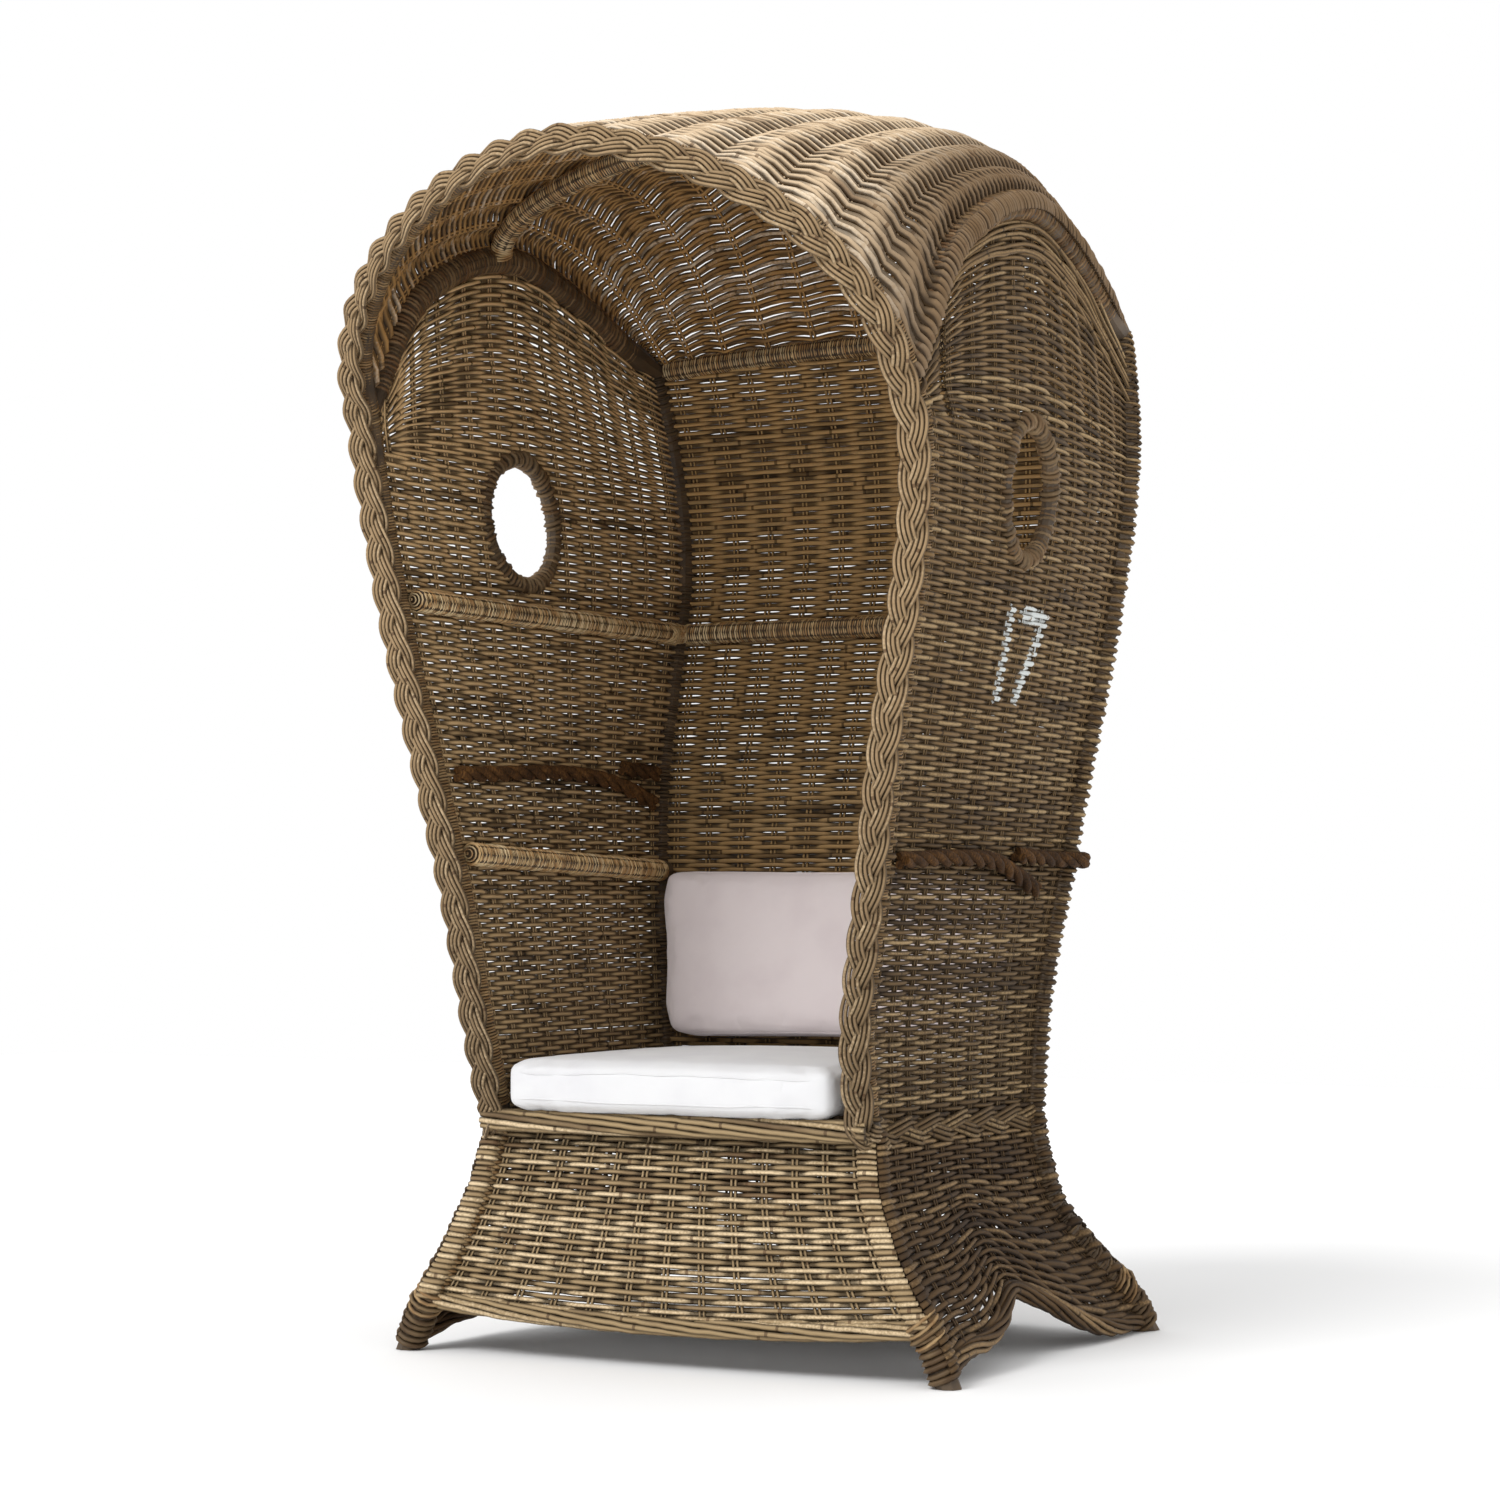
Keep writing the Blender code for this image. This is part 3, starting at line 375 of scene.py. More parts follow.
def windingTree():  # turns of cane round every line, one every pitch
    t = Tree("windings", pitch=0.007, turnRadius=0.016, caneRadius=0.0032, turnSides=12, caneSides=4,
             tilt=0.08, stray=0.05, seed=1)
    path = t.out('GeometryNodeMeshToCurve', {"Mesh": t.start["Geometry"]})
    places = t.out('GeometryNodeResampleCurve', {"Curve": path, "Length": t.start["Pitch"]}, mode='LENGTH')
    bare = t.out('GeometryNodeCurveToMesh', {
        "Curve": t.circle(t.start["Turn Sides"], t.start["Turn Radius"]),
        "Profile Curve": t.circle(t.start["Cane Sides"], t.start["Cane Radius"])})
    fromMiddle = t.vectors('NORMALIZE', t.out('GeometryNodeInputPosition'))
    turn = t.store(bare, "wave", t.facing(fromMiddle))  # 1 on the crown, less in the grooves, where the finish paints shade
    facing = t.out('FunctionNodeAlignRotationToVector', {"Vector": t.out('GeometryNodeInputTangent')},
                   axis='Z')
    chance = t.out('FunctionNodeRandomValue', {"Min": (-1, -1, -1), "Max": (1, 1, 1),
                                               "Seed": t.start["Seed"]}, data_type='FLOAT_VECTOR')
    stray = t.vectors('SCALE', chance, scale=t.start["Stray"])
    lean = t.vectors('ADD', stray, t.out('ShaderNodeCombineXYZ', {"X": t.start["Tilt"]}))
    turned = t.out('FunctionNodeRotateRotation', {
        "Rotation": facing, "Rotate By": t.out('FunctionNodeEulerToRotation', {"Euler": lean})},
        rotation_space='LOCAL')
    apart = t.node('ShaderNodeSeparateXYZ', {0: stray}).outputs["Z"]
    size = t.maths('MULTIPLY', t.named("girth"), t.maths('ADD', t.maths('MULTIPLY', apart, 0.8), 1.0))
    placed = t.out('GeometryNodeInstanceOnPoints', {
        "Points": places, "Instance": turn, "Rotation": turned,
        "Scale": t.out('ShaderNodeCombineXYZ', {"X": size, "Y": size, "Z": 1.0})})
    tone = t.node('FunctionNodeRandomValue', {2: 0.0, 3: 1.0, "Seed": t.start["Seed"]},
                  data_type='FLOAT').outputs[1]
    toned = t.store(placed, "tone", tone, 'INSTANCE')
    return t.finish(t.out('GeometryNodeRealizeInstances', {"Geometry": toned}))


def grow(tree, guides, name, finish, **inputs):  # the guides become a plain mesh made by the tree
    item = guides.build(name + "Guides")
    modifier = item.modifiers.new(name, 'NODES')
    modifier.node_group = tree.tree
    modifier[tree.ids["material"]] = finishes[finish]
    for key, value in inputs.items():
        modifier[tree.ids[key]] = value
    mesh = bpy.data.meshes.new_from_object(item.evaluated_get(bpy.context.evaluated_depsgraph_get()))
    mesh.name = name
    bpy.data.objects.remove(item)
    return added(name, mesh)


def place(item, *nodes, slot="cane"):
    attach(item, "root")
    if nodes:
        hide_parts(*nodes)
    print("made", item.name, len(item.data.polygons), "faces")


# Finishes
def operation(kind, turned=False):  # a Math node as a method
    def method(self, other=0.0):
        pair = (other, self) if turned else (self, other)
        return Channel(self.finish, self.finish.out('ShaderNodeMath', dict(enumerate(pair)), operation=kind))
    return method


class Channel:  # a shader value; sums and products on it add Math nodes
    def __init__(self, finish, socket):
        self.finish, self.socket = finish, socket

    __add__, __radd__ = operation('ADD'), operation('ADD', True)
    __sub__, __rsub__ = operation('SUBTRACT'), operation('SUBTRACT', True)
    __mul__, __rmul__ = operation('MULTIPLY'), operation('MULTIPLY', True)
    __truediv__, __rtruediv__ = operation('DIVIDE'), operation('DIVIDE', True)
    below, least, most = operation('LESS_THAN'), operation('MINIMUM'), operation('MAXIMUM')
    fraction, sine, root = operation('FRACT'), operation('SINE'), operation('SQRT')

    def ramp(self, low, high):  # 0 at low, 1 at high, soft in between
        return Channel(self.finish, self.finish.out(
            'ShaderNodeMapRange', {"Value": self, "From Min": low, "From Max": high},
            interpolation_type='SMOOTHSTEP'))


class Finish(Nodes):  # a material with one Principled shader
    def __init__(self, name, roughness=0.6, specular=0.5, sheen=0.0):
        self.material = bpy.data.materials.new(name)
        self.material.use_nodes = True
        super().__init__(self.material.node_tree)
        self.shader = self.tree.nodes["Principled BSDF"]
        self.shader.inputs["Roughness"].default_value = roughness
        self.shader.inputs["Specular IOR Level"].default_value = specular
        self.shader.inputs["Sheen Weight"].default_value = sheen
        self.place = self.node('ShaderNodeTexCoord').outputs["Object"]

    def named(self, key):
        return Channel(self, self.node('ShaderNodeAttribute', attribute_name=key).outputs["Fac"])

    def axis(self, index):
        return Channel(self, self.node('ShaderNodeSeparateXYZ', {0: self.place}).outputs[index])

    def noise(self, scale, detail=2.0, seed=0.0, stretch=(1, 1, 1)):
        vector = self.out('ShaderNodeMapping', {"Vector": self.place, "Scale": stretch})
        return Channel(self, self.out('ShaderNodeTexNoise', {
            "Vector": vector, "W": seed, "Scale": scale, "Detail": detail}, noise_dimensions='4D'))

    def colours(self, value, stops):
        return self.out('ShaderNodeValToRGB', {0: value}, stops=stops)

    def blend(self, a, b, factor):
        node = self.node('ShaderNodeMix', {0: factor}, data_type='RGBA', blend_type='MIX')
        for socket, value in ((node.inputs[6], a), (node.inputs[7], b)):
            self.feed(socket, (*value, 1) if isinstance(value, tuple) else value)
        return node.outputs[2]

    def paint(self, **sockets):
        for key, value in sockets.items():
            self.feed(self.shader.inputs[socketName(key)], value)

    def bump(self, height, distance):
        self.paint(normal=self.out('ShaderNodeBump', {"Height": height, "Distance": distance,
                                                      "Strength": 1.0}))


def srgb(values):  # a colour as it looks on screen, 0 to 255
    return tuple(((v / 255 + 0.055) / 1.055) ** 2.4 if v > 10 else v / 255 / 12.92 for v in values)


def dimmed(colour, share):
    return tuple(v * share for v in colour)


# the shade colour and the behind, between and groove shares are painted shade; the inside and outside shares
# by height are painted light and shade
caneLook = dict(jointEvery=0.21, jointShare=0.022, jointDark=0.7, fibreScale=260.0, blotchScale=9.0,
                fibreBump=0.0004, shade=srgb((30, 21, 14)), behindShade=0.72, betweenShade=0.78,
                grooveShade=0.7, insideShadeLow=0.88, insideLightHigh=1.75, outsideShadeLow=0.56, specular=0.2,
                paleShare=0.75, darkShare=0.75, flankShare=0.9, flankSlope=0.14)


def caneFinish(name, inner, outer, pale, dark, digits=None, flank=None):  # brown inside, pale outside: painted shade inside and painted light outside
    f, look = Finish(name, roughness=0.62, specular=caneLook["specular"]), caneLook
    inner, outer, pale, dark = map(srgb, (inner, outer, pale, dark))
    tone, sun, along = f.named("tone"), f.named("sun"), f.named("along")
    blotch = f.noise(look["blotchScale"], 3.0)
    fibre = f.noise(look["fibreScale"], 2.0, tone * 31.0)
    height, across = f.axis(2), f.axis(0)
    # painted light: inside faces lighter towards the top, outside faces darker towards the bottom
    inside = f.blend(dimmed(inner, look["insideShadeLow"]), dimmed(inner, look["insideLightHigh"]),
                     height.ramp(0.4, 1.5))
    outside = f.blend(dimmed(outer, look["outsideShadeLow"]), outer, height.ramp(0.3, 1.1))
    # painted light and shade: each face goes from the inside colour to the outside colour as it looks out of
    # the chair
    paintedSideLight = f.blend(inside, outside, (sun + (blotch - 0.5) * 0.6).ramp(-0.35, 0.55))
    bleaching = (tone * 0.9 + (fibre - 0.5) * 0.9).ramp(0.50, 1.0)
    staining = (1.0 - (tone * 1.4 + (blotch - 0.45) * 1.6)).ramp(0.55, 1.05)
    colour = f.blend(paintedSideLight, pale, bleaching * look["paleShare"])
    colour = f.blend(colour, dark, staining * look["darkShare"])
    joint = (along / look["jointEvery"] + tone * 7.0).fraction().below(look["jointShare"])
    # painted shade: rows darker where they pass behind a stake, and on their flanks in the crevices between
    # rows
    behind = (0.0 - f.named("wave") * sun).ramp(-0.1, 0.9) * look["behindShade"]
    between = (1.0 - sun * sun).ramp(0.20, 0.90) * look["betweenShade"]
    if flank:  # painted shade: the roof's sides are darker than its lit top
        edge = (across * across).root() + f.axis(1) * look["flankSlope"] + (blotch - 0.5) * 0.05
        flankShade = edge.ramp(0.27, 0.41) * sun.ramp(-0.2, 0.2) * look["flankShare"]
        colour = f.blend(colour, srgb(flank), flankShade)
    # the dark joints are the cane's own; the painted shade goes over them
    colour = f.blend(f.blend(colour, dark, joint * look["jointDark"]), look["shade"], behind.most(between))
    if digits:
        colour = f.blend(colour, srgb(digits["colour"]), digitMask(f, sun, fibre, digits))
    f.paint(baseColor=colour, roughness=0.5 + fibre * 0.3)
    f.bump(fibre + joint * 0.8, look["fibreBump"])
    return f.material


paintedDigits = dict(colour=(214, 218, 216), strokeHalf=0.0125, height=0.114, slant=0.12, oneY=0.040,
                     sevenLeftY=0.088, sevenRightY=0.168, sevenLean=0.02, foot=0.916, ragged=0.006)


def digitMask(f, sun, fibre, d):  # a plain 17 brushed on the outside of the right-hand wall
    y, z = f.axis(1), f.axis(2)
    y = y - (z - d["foot"]) * d["slant"]
    foot, head = d["foot"], d["foot"] + d["height"]

    def stroke(ya, za, yb, zb):  # how far a point is from the line between two places
        dy, dz = yb - ya, zb - za
        t = (((y - ya) * dy + (z - za) * dz) / (dy * dy + dz * dz)).most(0.0).least(1.0)
        p, q = y - ya - t * dy, z - za - t * dz
        return (p * p + q * q).root()

    nearest = stroke(d["oneY"], foot, d["oneY"], head)
    nearest = nearest.least(stroke(d["sevenLeftY"], head, d["sevenRightY"], head))
    nearest = nearest.least(stroke(d["sevenRightY"], head, d["sevenLeftY"] + d["sevenLean"], foot))
    ragged = d["strokeHalf"] + (fibre - 0.5) * d["ragged"]
    return (ragged - nearest).ramp(0.0, 0.002) * sun.ramp(0.25, 0.55) * f.noise(60.0).ramp(0.30, 0.42)


def windingFinish(name, grey, rust, tan, depth=1.0):  # turns of thin cane, in bands of other colours
    f = Finish(name, roughness=0.5, specular=caneLook["specular"])
    tone = f.named("tone")
    band = f.noise(11.0, 2.0, 4.0)
    fibre = f.noise(300.0)
    grey, rust, tan = map(srgb, (grey, rust, tan))
    colour = f.colours(band + (tone - 0.5) * 0.22,
                       [(0.34, grey), (0.44, rust), (0.51, tan), (0.58, rust), (0.66, grey)])
    # painted shade in the grooves between turns
    groove = (1.0 - f.named("wave")).ramp(0.15, 0.75) * (caneLook["grooveShade"] * depth)
    colour = f.blend(colour, (0, 0, 0), (1.0 - tone).ramp(0.35, 1.0) * (0.42 * depth))
    f.paint(baseColor=f.blend(colour, caneLook["shade"], groove), roughness=0.4 + fibre * 0.3)
    f.bump(fibre, 0.0003)
    return f.material


def ropeFinish(name, light):
    f = Finish(name, roughness=0.85, specular=caneLook["specular"])
    fibre = f.noise(420.0, 3.0, 0.0, (1, 1, 0.4))
    worn = f.noise(28.0, 3.0)
    shades = ((0.35, (24, 14, 5)), (0.55, (63, 41, 19)), (0.78, (114, 78, 38)))
    f.paint(baseColor=f.colours(fibre * 0.6 + worn * 0.5,
                                [(at, dimmed(srgb(shade), light)) for at, shade in shades]))
    f.bump(fibre, 0.0008)
    return f.material


def clothFinish(name, colour, shade):
    f = Finish(name, roughness=0.9, sheen=0.25)
    thread = 2 * math.pi / 0.0011
    x, y, z = f.axis(0), f.axis(1), f.axis(2)
    weft = (x * thread).sine() * ((y + z) * thread).sine()
    soft = f.noise(14.0, 3.0)
    f.paint(baseColor=f.blend(srgb(colour), srgb(shade), soft.ramp(0.35, 0.75) * 0.5))
    f.bump(weft * 0.25 + f.noise(30.0, 3.0) * 2.0, 0.0005)
    return f.material


def poleFinish(name, dark, pale):  # the bent poles under their windings, and the slats
    f = Finish(name, roughness=0.6)
    grain = f.noise(60.0, 4.0, 0.0, (1, 0.15, 0.5))
    f.paint(baseColor=f.colours(grain, [(0.3, srgb(dark)), (0.7, srgb(pale))]))
    f.bump(grain, 0.0006)
    return f.material


wallColours = ((190, 160, 117), (130, 103, 67), (188, 160, 117), (48, 34, 20))
finishes = dict(
    wall=caneFinish("wallCane", *wallColours),
    numbered=caneFinish("numberedCane", *wallColours, digits=paintedDigits),
    # painted shade: the back wall, whose inside faces the light, gets a darker copy of the wall cane
    rear=caneFinish("rearCane", (158, 127, 84), (126, 101, 66), (166, 138, 98), (46, 32, 19)),
    roof=caneFinish("roofCane", (152, 117, 72), (216, 190, 156), (246, 229, 204), (122, 95, 67),
                    flank=(112, 86, 56)),
    # painted light and shade: the skirts, hems and bands at the front of the base get lighter copies of the
    # cane than those at its sides and back, as the front faces the light
    skirt=caneFinish("skirtCane", (100, 74, 46), (119, 91, 57), (158, 130, 92), (44, 30, 18)),
    honey=caneFinish("honeyCane", (110, 86, 58), (206, 176, 131), (236, 212, 173), (92, 67, 44)),
    border=caneFinish("borderCane", (104, 80, 52), (206, 177, 132), (234, 210, 172), (76, 55, 36)),
    braid=caneFinish("braidCane", (200, 167, 123), (157, 131, 97), (208, 184, 148), (80, 55, 34)),
    wound=windingFinish("woundCane", (230, 206, 162), (180, 138, 90), (234, 204, 152), 0.55),
    hoop=windingFinish("hoopCane", (156, 129, 92), (136, 105, 69), (172, 143, 102)),
    post=windingFinish("postCane", (94, 76, 54), (80, 61, 41), (110, 90, 64)),
    roll=windingFinish("rollCane", (124, 99, 68), (108, 78, 49), (144, 116, 82)),
    ring=windingFinish("ringCane", (128, 106, 78), (112, 86, 58), (144, 120, 88)),
    # painted light: the ropes inside the chair, which lie in shade, get a copy 1.5 times lighter
    rope=ropeFinish("ropeFibre", 1.0), shadedRope=ropeFinish("shadedRopeFibre", 1.5),
    pole=poleFinish("barePole", (54, 42, 29), (92, 73, 50)),
    white=clothFinish("whiteCloth", (226, 226, 227), (214, 213, 217)),
    rose=clothFinish("roseCloth", (232, 221, 221), (218, 205, 207)))

strands, windings = strandTree(), windingTree()
print("stage: finishes and node trees made")

# Woven walls, roof and skirts
weave = dict(rowPitch=0.0069, caneRadius=0.0040, caneSides=5, stakeRadius=0.0024, stakeGap=0.0032,
             depth=0.0036, pointsPerStake=4, unevenness=0.0018, pinch=0.10, squareness=1.3,
             rowSpread=(0.44, 0.56), leastGirth=0.93, girthRange=0.16, girthSway=0.05, room=(0.5, 1.6))
# How far the rows' ends go round the poles, and how far out
wrap = dict(start=math.radians(40), post=math.radians(105), corner=math.radians(42),
            roll=math.radians(20), hoop=math.radians(75), legRadius=lines["legRadius"] + 0.0030,
            hoopRadius=lines["hoopRadius"] + 0.0030, points=8, stray=(-0.0010, 0.0012))
random = np.random.default_rng(12)


def rowPlaces(surface, coarse):  # where rows lie on a surface, evenly spaced along its middle
    shares = np.array(steps(0, 1, 80))
    length = lengthAlong(np.array([surface(0.5, v) for v in shares]))
    rows = int(length[-1] / (weave["rowPitch"] * coarse))
    return np.interp(np.linspace(0, length[-1], rows + 1), length, shares)


def roundPole(line, out, radius, reach):  # carries the end of a row on round the pole that it meets
    along = line[-1] - line[-3]
    along = unit(along - out[-1] * (along @ out[-1]))
    facing = np.array([out[-1] * math.cos(t) + along * math.sin(t)
                       for t in steps(-wrap["start"], reach, wrap["points"] - 1)])
    return np.vstack([line[:-1], line[-1] + facing * radius]), np.vstack([out[:-1], facing])


def runsOf(shown):  # the unbroken runs of points that show
    return [run for run in np.split(np.arange(len(shown)), np.flatnonzero(np.diff(shown)) + 1)
            if shown[run[0]]]


def weavePanel(name, node, surface, stakes, finish, left=False, hole=None, keep=None, lift=None,
               slot="cane", coarse=1.0, depth=weave["depth"], ends=(None, None),
               fullness=lambda height: 1.0):
    flip = mirrored if left else np.asarray
    places = rowPlaces(surface, coarse)
    rows, columns = len(places) - 1, stakes * weave["pointsPerStake"]
    points, outward = map(flip, surfaceGrid(
        lambda u, v: surface(u, np.interp(v * rows, range(rows + 1), places)), columns, rows))
    u = np.linspace(0, 1, columns + 1)
    if lift:
        points = points + outward * lift(u)[None, :, None]
    guides = Guides()
    for j in range(rows):
        turn = j
        line = mix(points[j], points[j + 1], random.uniform(*weave["rowSpread"]))
        shown = np.ones(columns + 1, bool)
        room = np.linalg.norm(points[j + 1] - points[j], axis=1) / (weave["rowPitch"] * coarse)
        if hole:
            shown &= ~hole(line)
        if keep:
            every = keep(u, j, rows)
            shown &= j % every == 0
            room, turn = room * every, j // every
        wave = np.clip(weave["squareness"] * np.cos(math.pi * (u * stakes - 0.5 + turn)), -1, 1)
        girth = weave["leastGirth"] + weave["girthRange"] * random.random()
        girth = girth + weave["girthSway"] * np.sin(u * 9 + j * 0.7)  # swells and thins along the row
        girth = girth * fullness(line[:, 2].mean()) * np.clip(room, *weave["room"])
        girth *= 1 - weave["pinch"] * wave**2
        tone = random.random()
        for run in runsOf(shown):
            if len(run) < 4:
                continue
            row, facing, sway, thick = line[run], outward[j][run], wave[run], girth[run]
            for last, end in ((run[-1] == columns, ends[1]), (run[0] == 0, ends[0])):
                if last and end and end["pattern"][j % len(end["pattern"])]:
                    radius = end["radius"](places[j]) + random.uniform(*wrap["stray"])
                    row, facing = roundPole(row, facing, radius, end["reach"])
                    sway = np.append(sway[:-1], np.zeros(wrap["points"]))
                    thick = np.append(thick[:-1], np.full(wrap["points"], thick[-1]))
                row, facing, sway, thick = row[::-1], facing[::-1], sway[::-1], thick[::-1]
            guides.add(row, facing, tone, sway, thick)
    woven = grow(strands, guides, name, finish, caneRadius=weave["caneRadius"] * coarse,
                 caneSides=weave["caneSides"], weaveDepth=depth, unevenness=weave["unevenness"])
    upright = Guides()
    for at in [(k + 0.5) / stakes for k in range(stakes)]:
        for side in (-1, 1):  # the stakes stand in pairs
            line, out = surfaceGrid(lambda u, v: surface(mix(at - 1e-3, at + 1e-3, u), v), 2,
                                    max(rows // 4, 8))
            line, out = line[:, 1], out[:, 1]
            across = unit(np.cross(out, np.gradient(line, axis=0)))
            line = line + across * side * weave["stakeGap"] + (out * lift(np.array([at]))[0] if lift else 0)
            line, out = flip(line), flip(out)
            for run in runsOf(~hole(line) if hole else np.ones(len(line), bool)):
                upright.add(line[run], out[run], 0.2 + 0.5 * random.random())
    staked = grow(strands, upright, name + "Stakes", finish, caneRadius=weave["stakeRadius"],
                  caneSides=weave["caneSides"])
    place(woven, node, slot=slot)
    place(staked, slot=slot)


porthole = dict(y=0.074, height=1.197, halfWidth=0.090, halfHeight=0.095, rim=0.004)
walls = dict(stakes=11, arcsFrom=1.262, leastRoom=0.56, thinBelow=0.72, fullOver=0.14)


def sidePoint(u, v):  # the rows follow the arch above a certain height
    start, top = walls["arcsFrom"], lines["sideArchTop"]
    z = waist + v * (top - waist)
    if z > start:
        z = start + (z - start) * (sideArch(u)[2] - start) / (top - start)
    return sideWall(u, z)


def throughPorthole(points):
    y = (points[:, 1] - porthole["y"]) / (porthole["halfWidth"] - porthole["rim"])
    z = (points[:, 2] - porthole["height"]) / (porthole["halfHeight"] - porthole["rim"])
    return (y * y + z * z < 1) & (np.abs(points[:, 0]) > 0.3)


def archRows(u, j, rows):  # only every second, fourth or eighth row goes on where they crowd together
    start, top = walls["arcsFrom"], lines["sideArchTop"]
    if waist + (j + 0.5) / rows * (top - waist) < start:
        return np.ones(len(u), int)
    room = np.array([(sideArch(s)[2] - start) / (top - start) for s in u])
    return 2 ** np.ceil(np.log2(np.maximum(walls["leastRoom"] / room, 1))).astype(int)


def fuller(low, high):  # thinner canes low on a wall than high on it
    return lambda height: mix(low, high, min(max((height - walls["thinBelow"]) / walls["fullOver"], 0), 1))


def backPoint(u, v):
    return backWall(1 - 2 * u, mix(waist, lines["backCorner"], v))


roofWeave = dict(stakes=14, flute=0.0125, fluteFade=8, coarse=1.20, depth=0.0020, fullness=0.95,
                 rollEnd=0.009, rollFront=0.12, rollRear=0.14)


def roofPoint(u, v):
    return roof(2 * u - 1, v)


def flutes(u):  # the roof swells outwards between its stakes, less and less towards the rolls
    return (roofWeave["flute"] * np.abs(np.cos(math.pi * u * roofWeave["stakes"]))
            * (1 - (2 * u - 1) ** roofWeave["fluteFade"]))


def rollRadius(share):  # the roll thins towards its ends
    taper = min(share / roofWeave["rollFront"], (1 - share) / roofWeave["rollRear"] + 0.1, 1)
    return mix(roofWeave["rollEnd"], lines["rollRadius"], taper)


skirts = dict(faceStakes=13, sideStakes=11, base=0.046, power=1.5, frontCoarse=1.10, frontFullness=0.9)


def skirtSidePoint(u, v):  # the rows straighten out above the hem
    height = mix(skirts["base"], waist, v)
    return skirtSide(u, height + (sideHemHeight(u) - skirts["base"]) * (1 - v) ** skirts["power"])


def skirtFacePoint(face, way):
    def point(u, v):
        across = way * (2 * u - 1)
        return face(across, mix(frontHemHeight(across), waist, v))
    return point


# How each row ends: the radius that it goes round, how far, and which rows do
roundHoop = dict(radius=lambda v: wrap["hoopRadius"], reach=wrap["hoop"], pattern=(1, 0, 0))
roundPost = dict(radius=lambda v: wrap["legRadius"] - 0.0014, reach=wrap["post"], pattern=(1, 0))
roundLeg = dict(radius=lambda v: wrap["legRadius"] - 0.0005, reach=wrap["corner"], pattern=(1,))
roundCorner = dict(radius=lambda v: wrap["legRadius"] - 0.0010, reach=wrap["corner"], pattern=(1,))
overRoll = dict(radius=lambda v: rollRadius(v) + 0.003, reach=wrap["roll"], pattern=(1,))
for name, finish, left, low, high in (("Right", "numbered", False, 0.945, 1.02),
                                      ("Left", "wall", True, 1.03, 1.10)):
    weavePanel("wall" + name, "side_panel_" + name.lower(), sidePoint, walls["stakes"], finish, left,
               throughPorthole, archRows, ends=(roundHoop, roundPost), fullness=fuller(low, high))
weavePanel("wallBack", "back_panel", backPoint, 12, "rear", slot="dark_cane", fullness=fuller(1.2, 1.14))
weavePanel("roof", "roof_panel", roofPoint, roofWeave["stakes"], "roof", lift=flutes, slot="pale_cane",
           coarse=roofWeave["coarse"], depth=roofWeave["depth"], ends=(overRoll, overRoll),
           fullness=lambda height: roofWeave["fullness"])
weavePanel("skirtFront", "skirt_front", skirtFacePoint(skirtFront, 1), skirts["faceStakes"], "honey",
           coarse=skirts["frontCoarse"], ends=(roundLeg, roundLeg),
           fullness=lambda height: skirts["frontFullness"])
weavePanel("skirtBack", "skirt_back", skirtFacePoint(skirtBack, -1), skirts["faceStakes"], "skirt",
           ends=(roundLeg, roundLeg))
for name, left in (("Right", False), ("Left", True)):
    weavePanel("skirt" + name, "skirt_" + name.lower(), skirtSidePoint, skirts["sideStakes"], "skirt", left,
               slot="dark_cane", ends=(roundCorner, roundPost))
print("stage: walls, roof and skirts woven")


# Plaits, bundles and windings along a path
def frameOf(path, facing):  # direction, face direction and side direction at each point
    along = unit(np.gradient(np.asarray(path, float), axis=0))
    facing = np.broadcast_to(np.asarray(facing, float), along.shape)
    face = unit(facing - along * (facing * along).sum(1, keepdims=True))
    return along, face, np.cross(along, face)


def evenly(path, facing, spacing):  # points at even distances, and how far along each is
    path = np.asarray(path, float)
    facing = np.broadcast_to(np.asarray(facing, float), path.shape)
    length = lengthAlong(path)
    places = np.linspace(0, length[-1], max(int(length[-1] / spacing), 2) + 1)
    even, evenFacing = (np.stack([np.interp(places, length, rows[:, k]) for k in range(3)], axis=1)
                        for rows in (path, facing))
    return even, evenFacing, places


def softened(path, rounds):  # rounds off the corners that straight steps leave
    for _ in range(rounds):
        path = np.vstack([path[:1], path[:-2] * 0.25 + path[1:-1] * 0.5 + path[2:] * 0.25, path[-1:]])
    return path


plaiting = dict(spacing=0.006, apart=2.05, crown=0.35, ownTone=0.6, unevenness=0.0012, sides=6)


def plait(path, facing, name, finish, period, halfWidth, halfDepth, canes, caneRadius):
    path, facing, places = evenly(path, facing, plaiting["spacing"])
    path = softened(path, 4)
    along, face, side = frameOf(path, facing)
    guides = Guides()
    for strand in range(3):
        phase = 2 * math.pi * (places / period + strand / 3)
        across, depth = halfWidth * np.sin(phase), halfDepth * np.sin(2 * phase)
        slope = np.gradient(across, places)
        strandSide = (side - along * slope[:, None]) / np.sqrt(1 + slope**2)[:, None]
        middle = path + side * across[:, None] + face * depth[:, None]
        base = random.random()
        for k in range(canes):
            fromMiddle = k - (canes - 1) / 2
            line = (middle + strandSide * (fromMiddle * caneRadius * plaiting["apart"])
                    + face * (-abs(fromMiddle) * caneRadius * plaiting["crown"]))
            guides.add(line, face, mix(base, random.random(), plaiting["ownTone"]))
    return grow(strands, guides, name, finish, caneRadius=caneRadius, caneSides=plaiting["sides"],
                unevenness=plaiting["unevenness"])


def bundle(path, facing, name, finish, count, radius, caneRadius, pitch, spacing=0.008, sides=6,
           unevenness=0.0040):
    path, facing, places = evenly(path, facing, spacing)
    along, face, side = frameOf(path, facing)
    guides = Guides()
    for k in range(count):
        angle = 2 * math.pi * (k / count + places / pitch)
        line = path + face * (np.cos(angle) * radius)[:, None] + side * (np.sin(angle) * radius)[:, None]
        guides.add(line, face, random.random())
    return grow(strands, guides, name, finish, caneRadius=caneRadius, caneSides=sides, unevenness=unevenness)


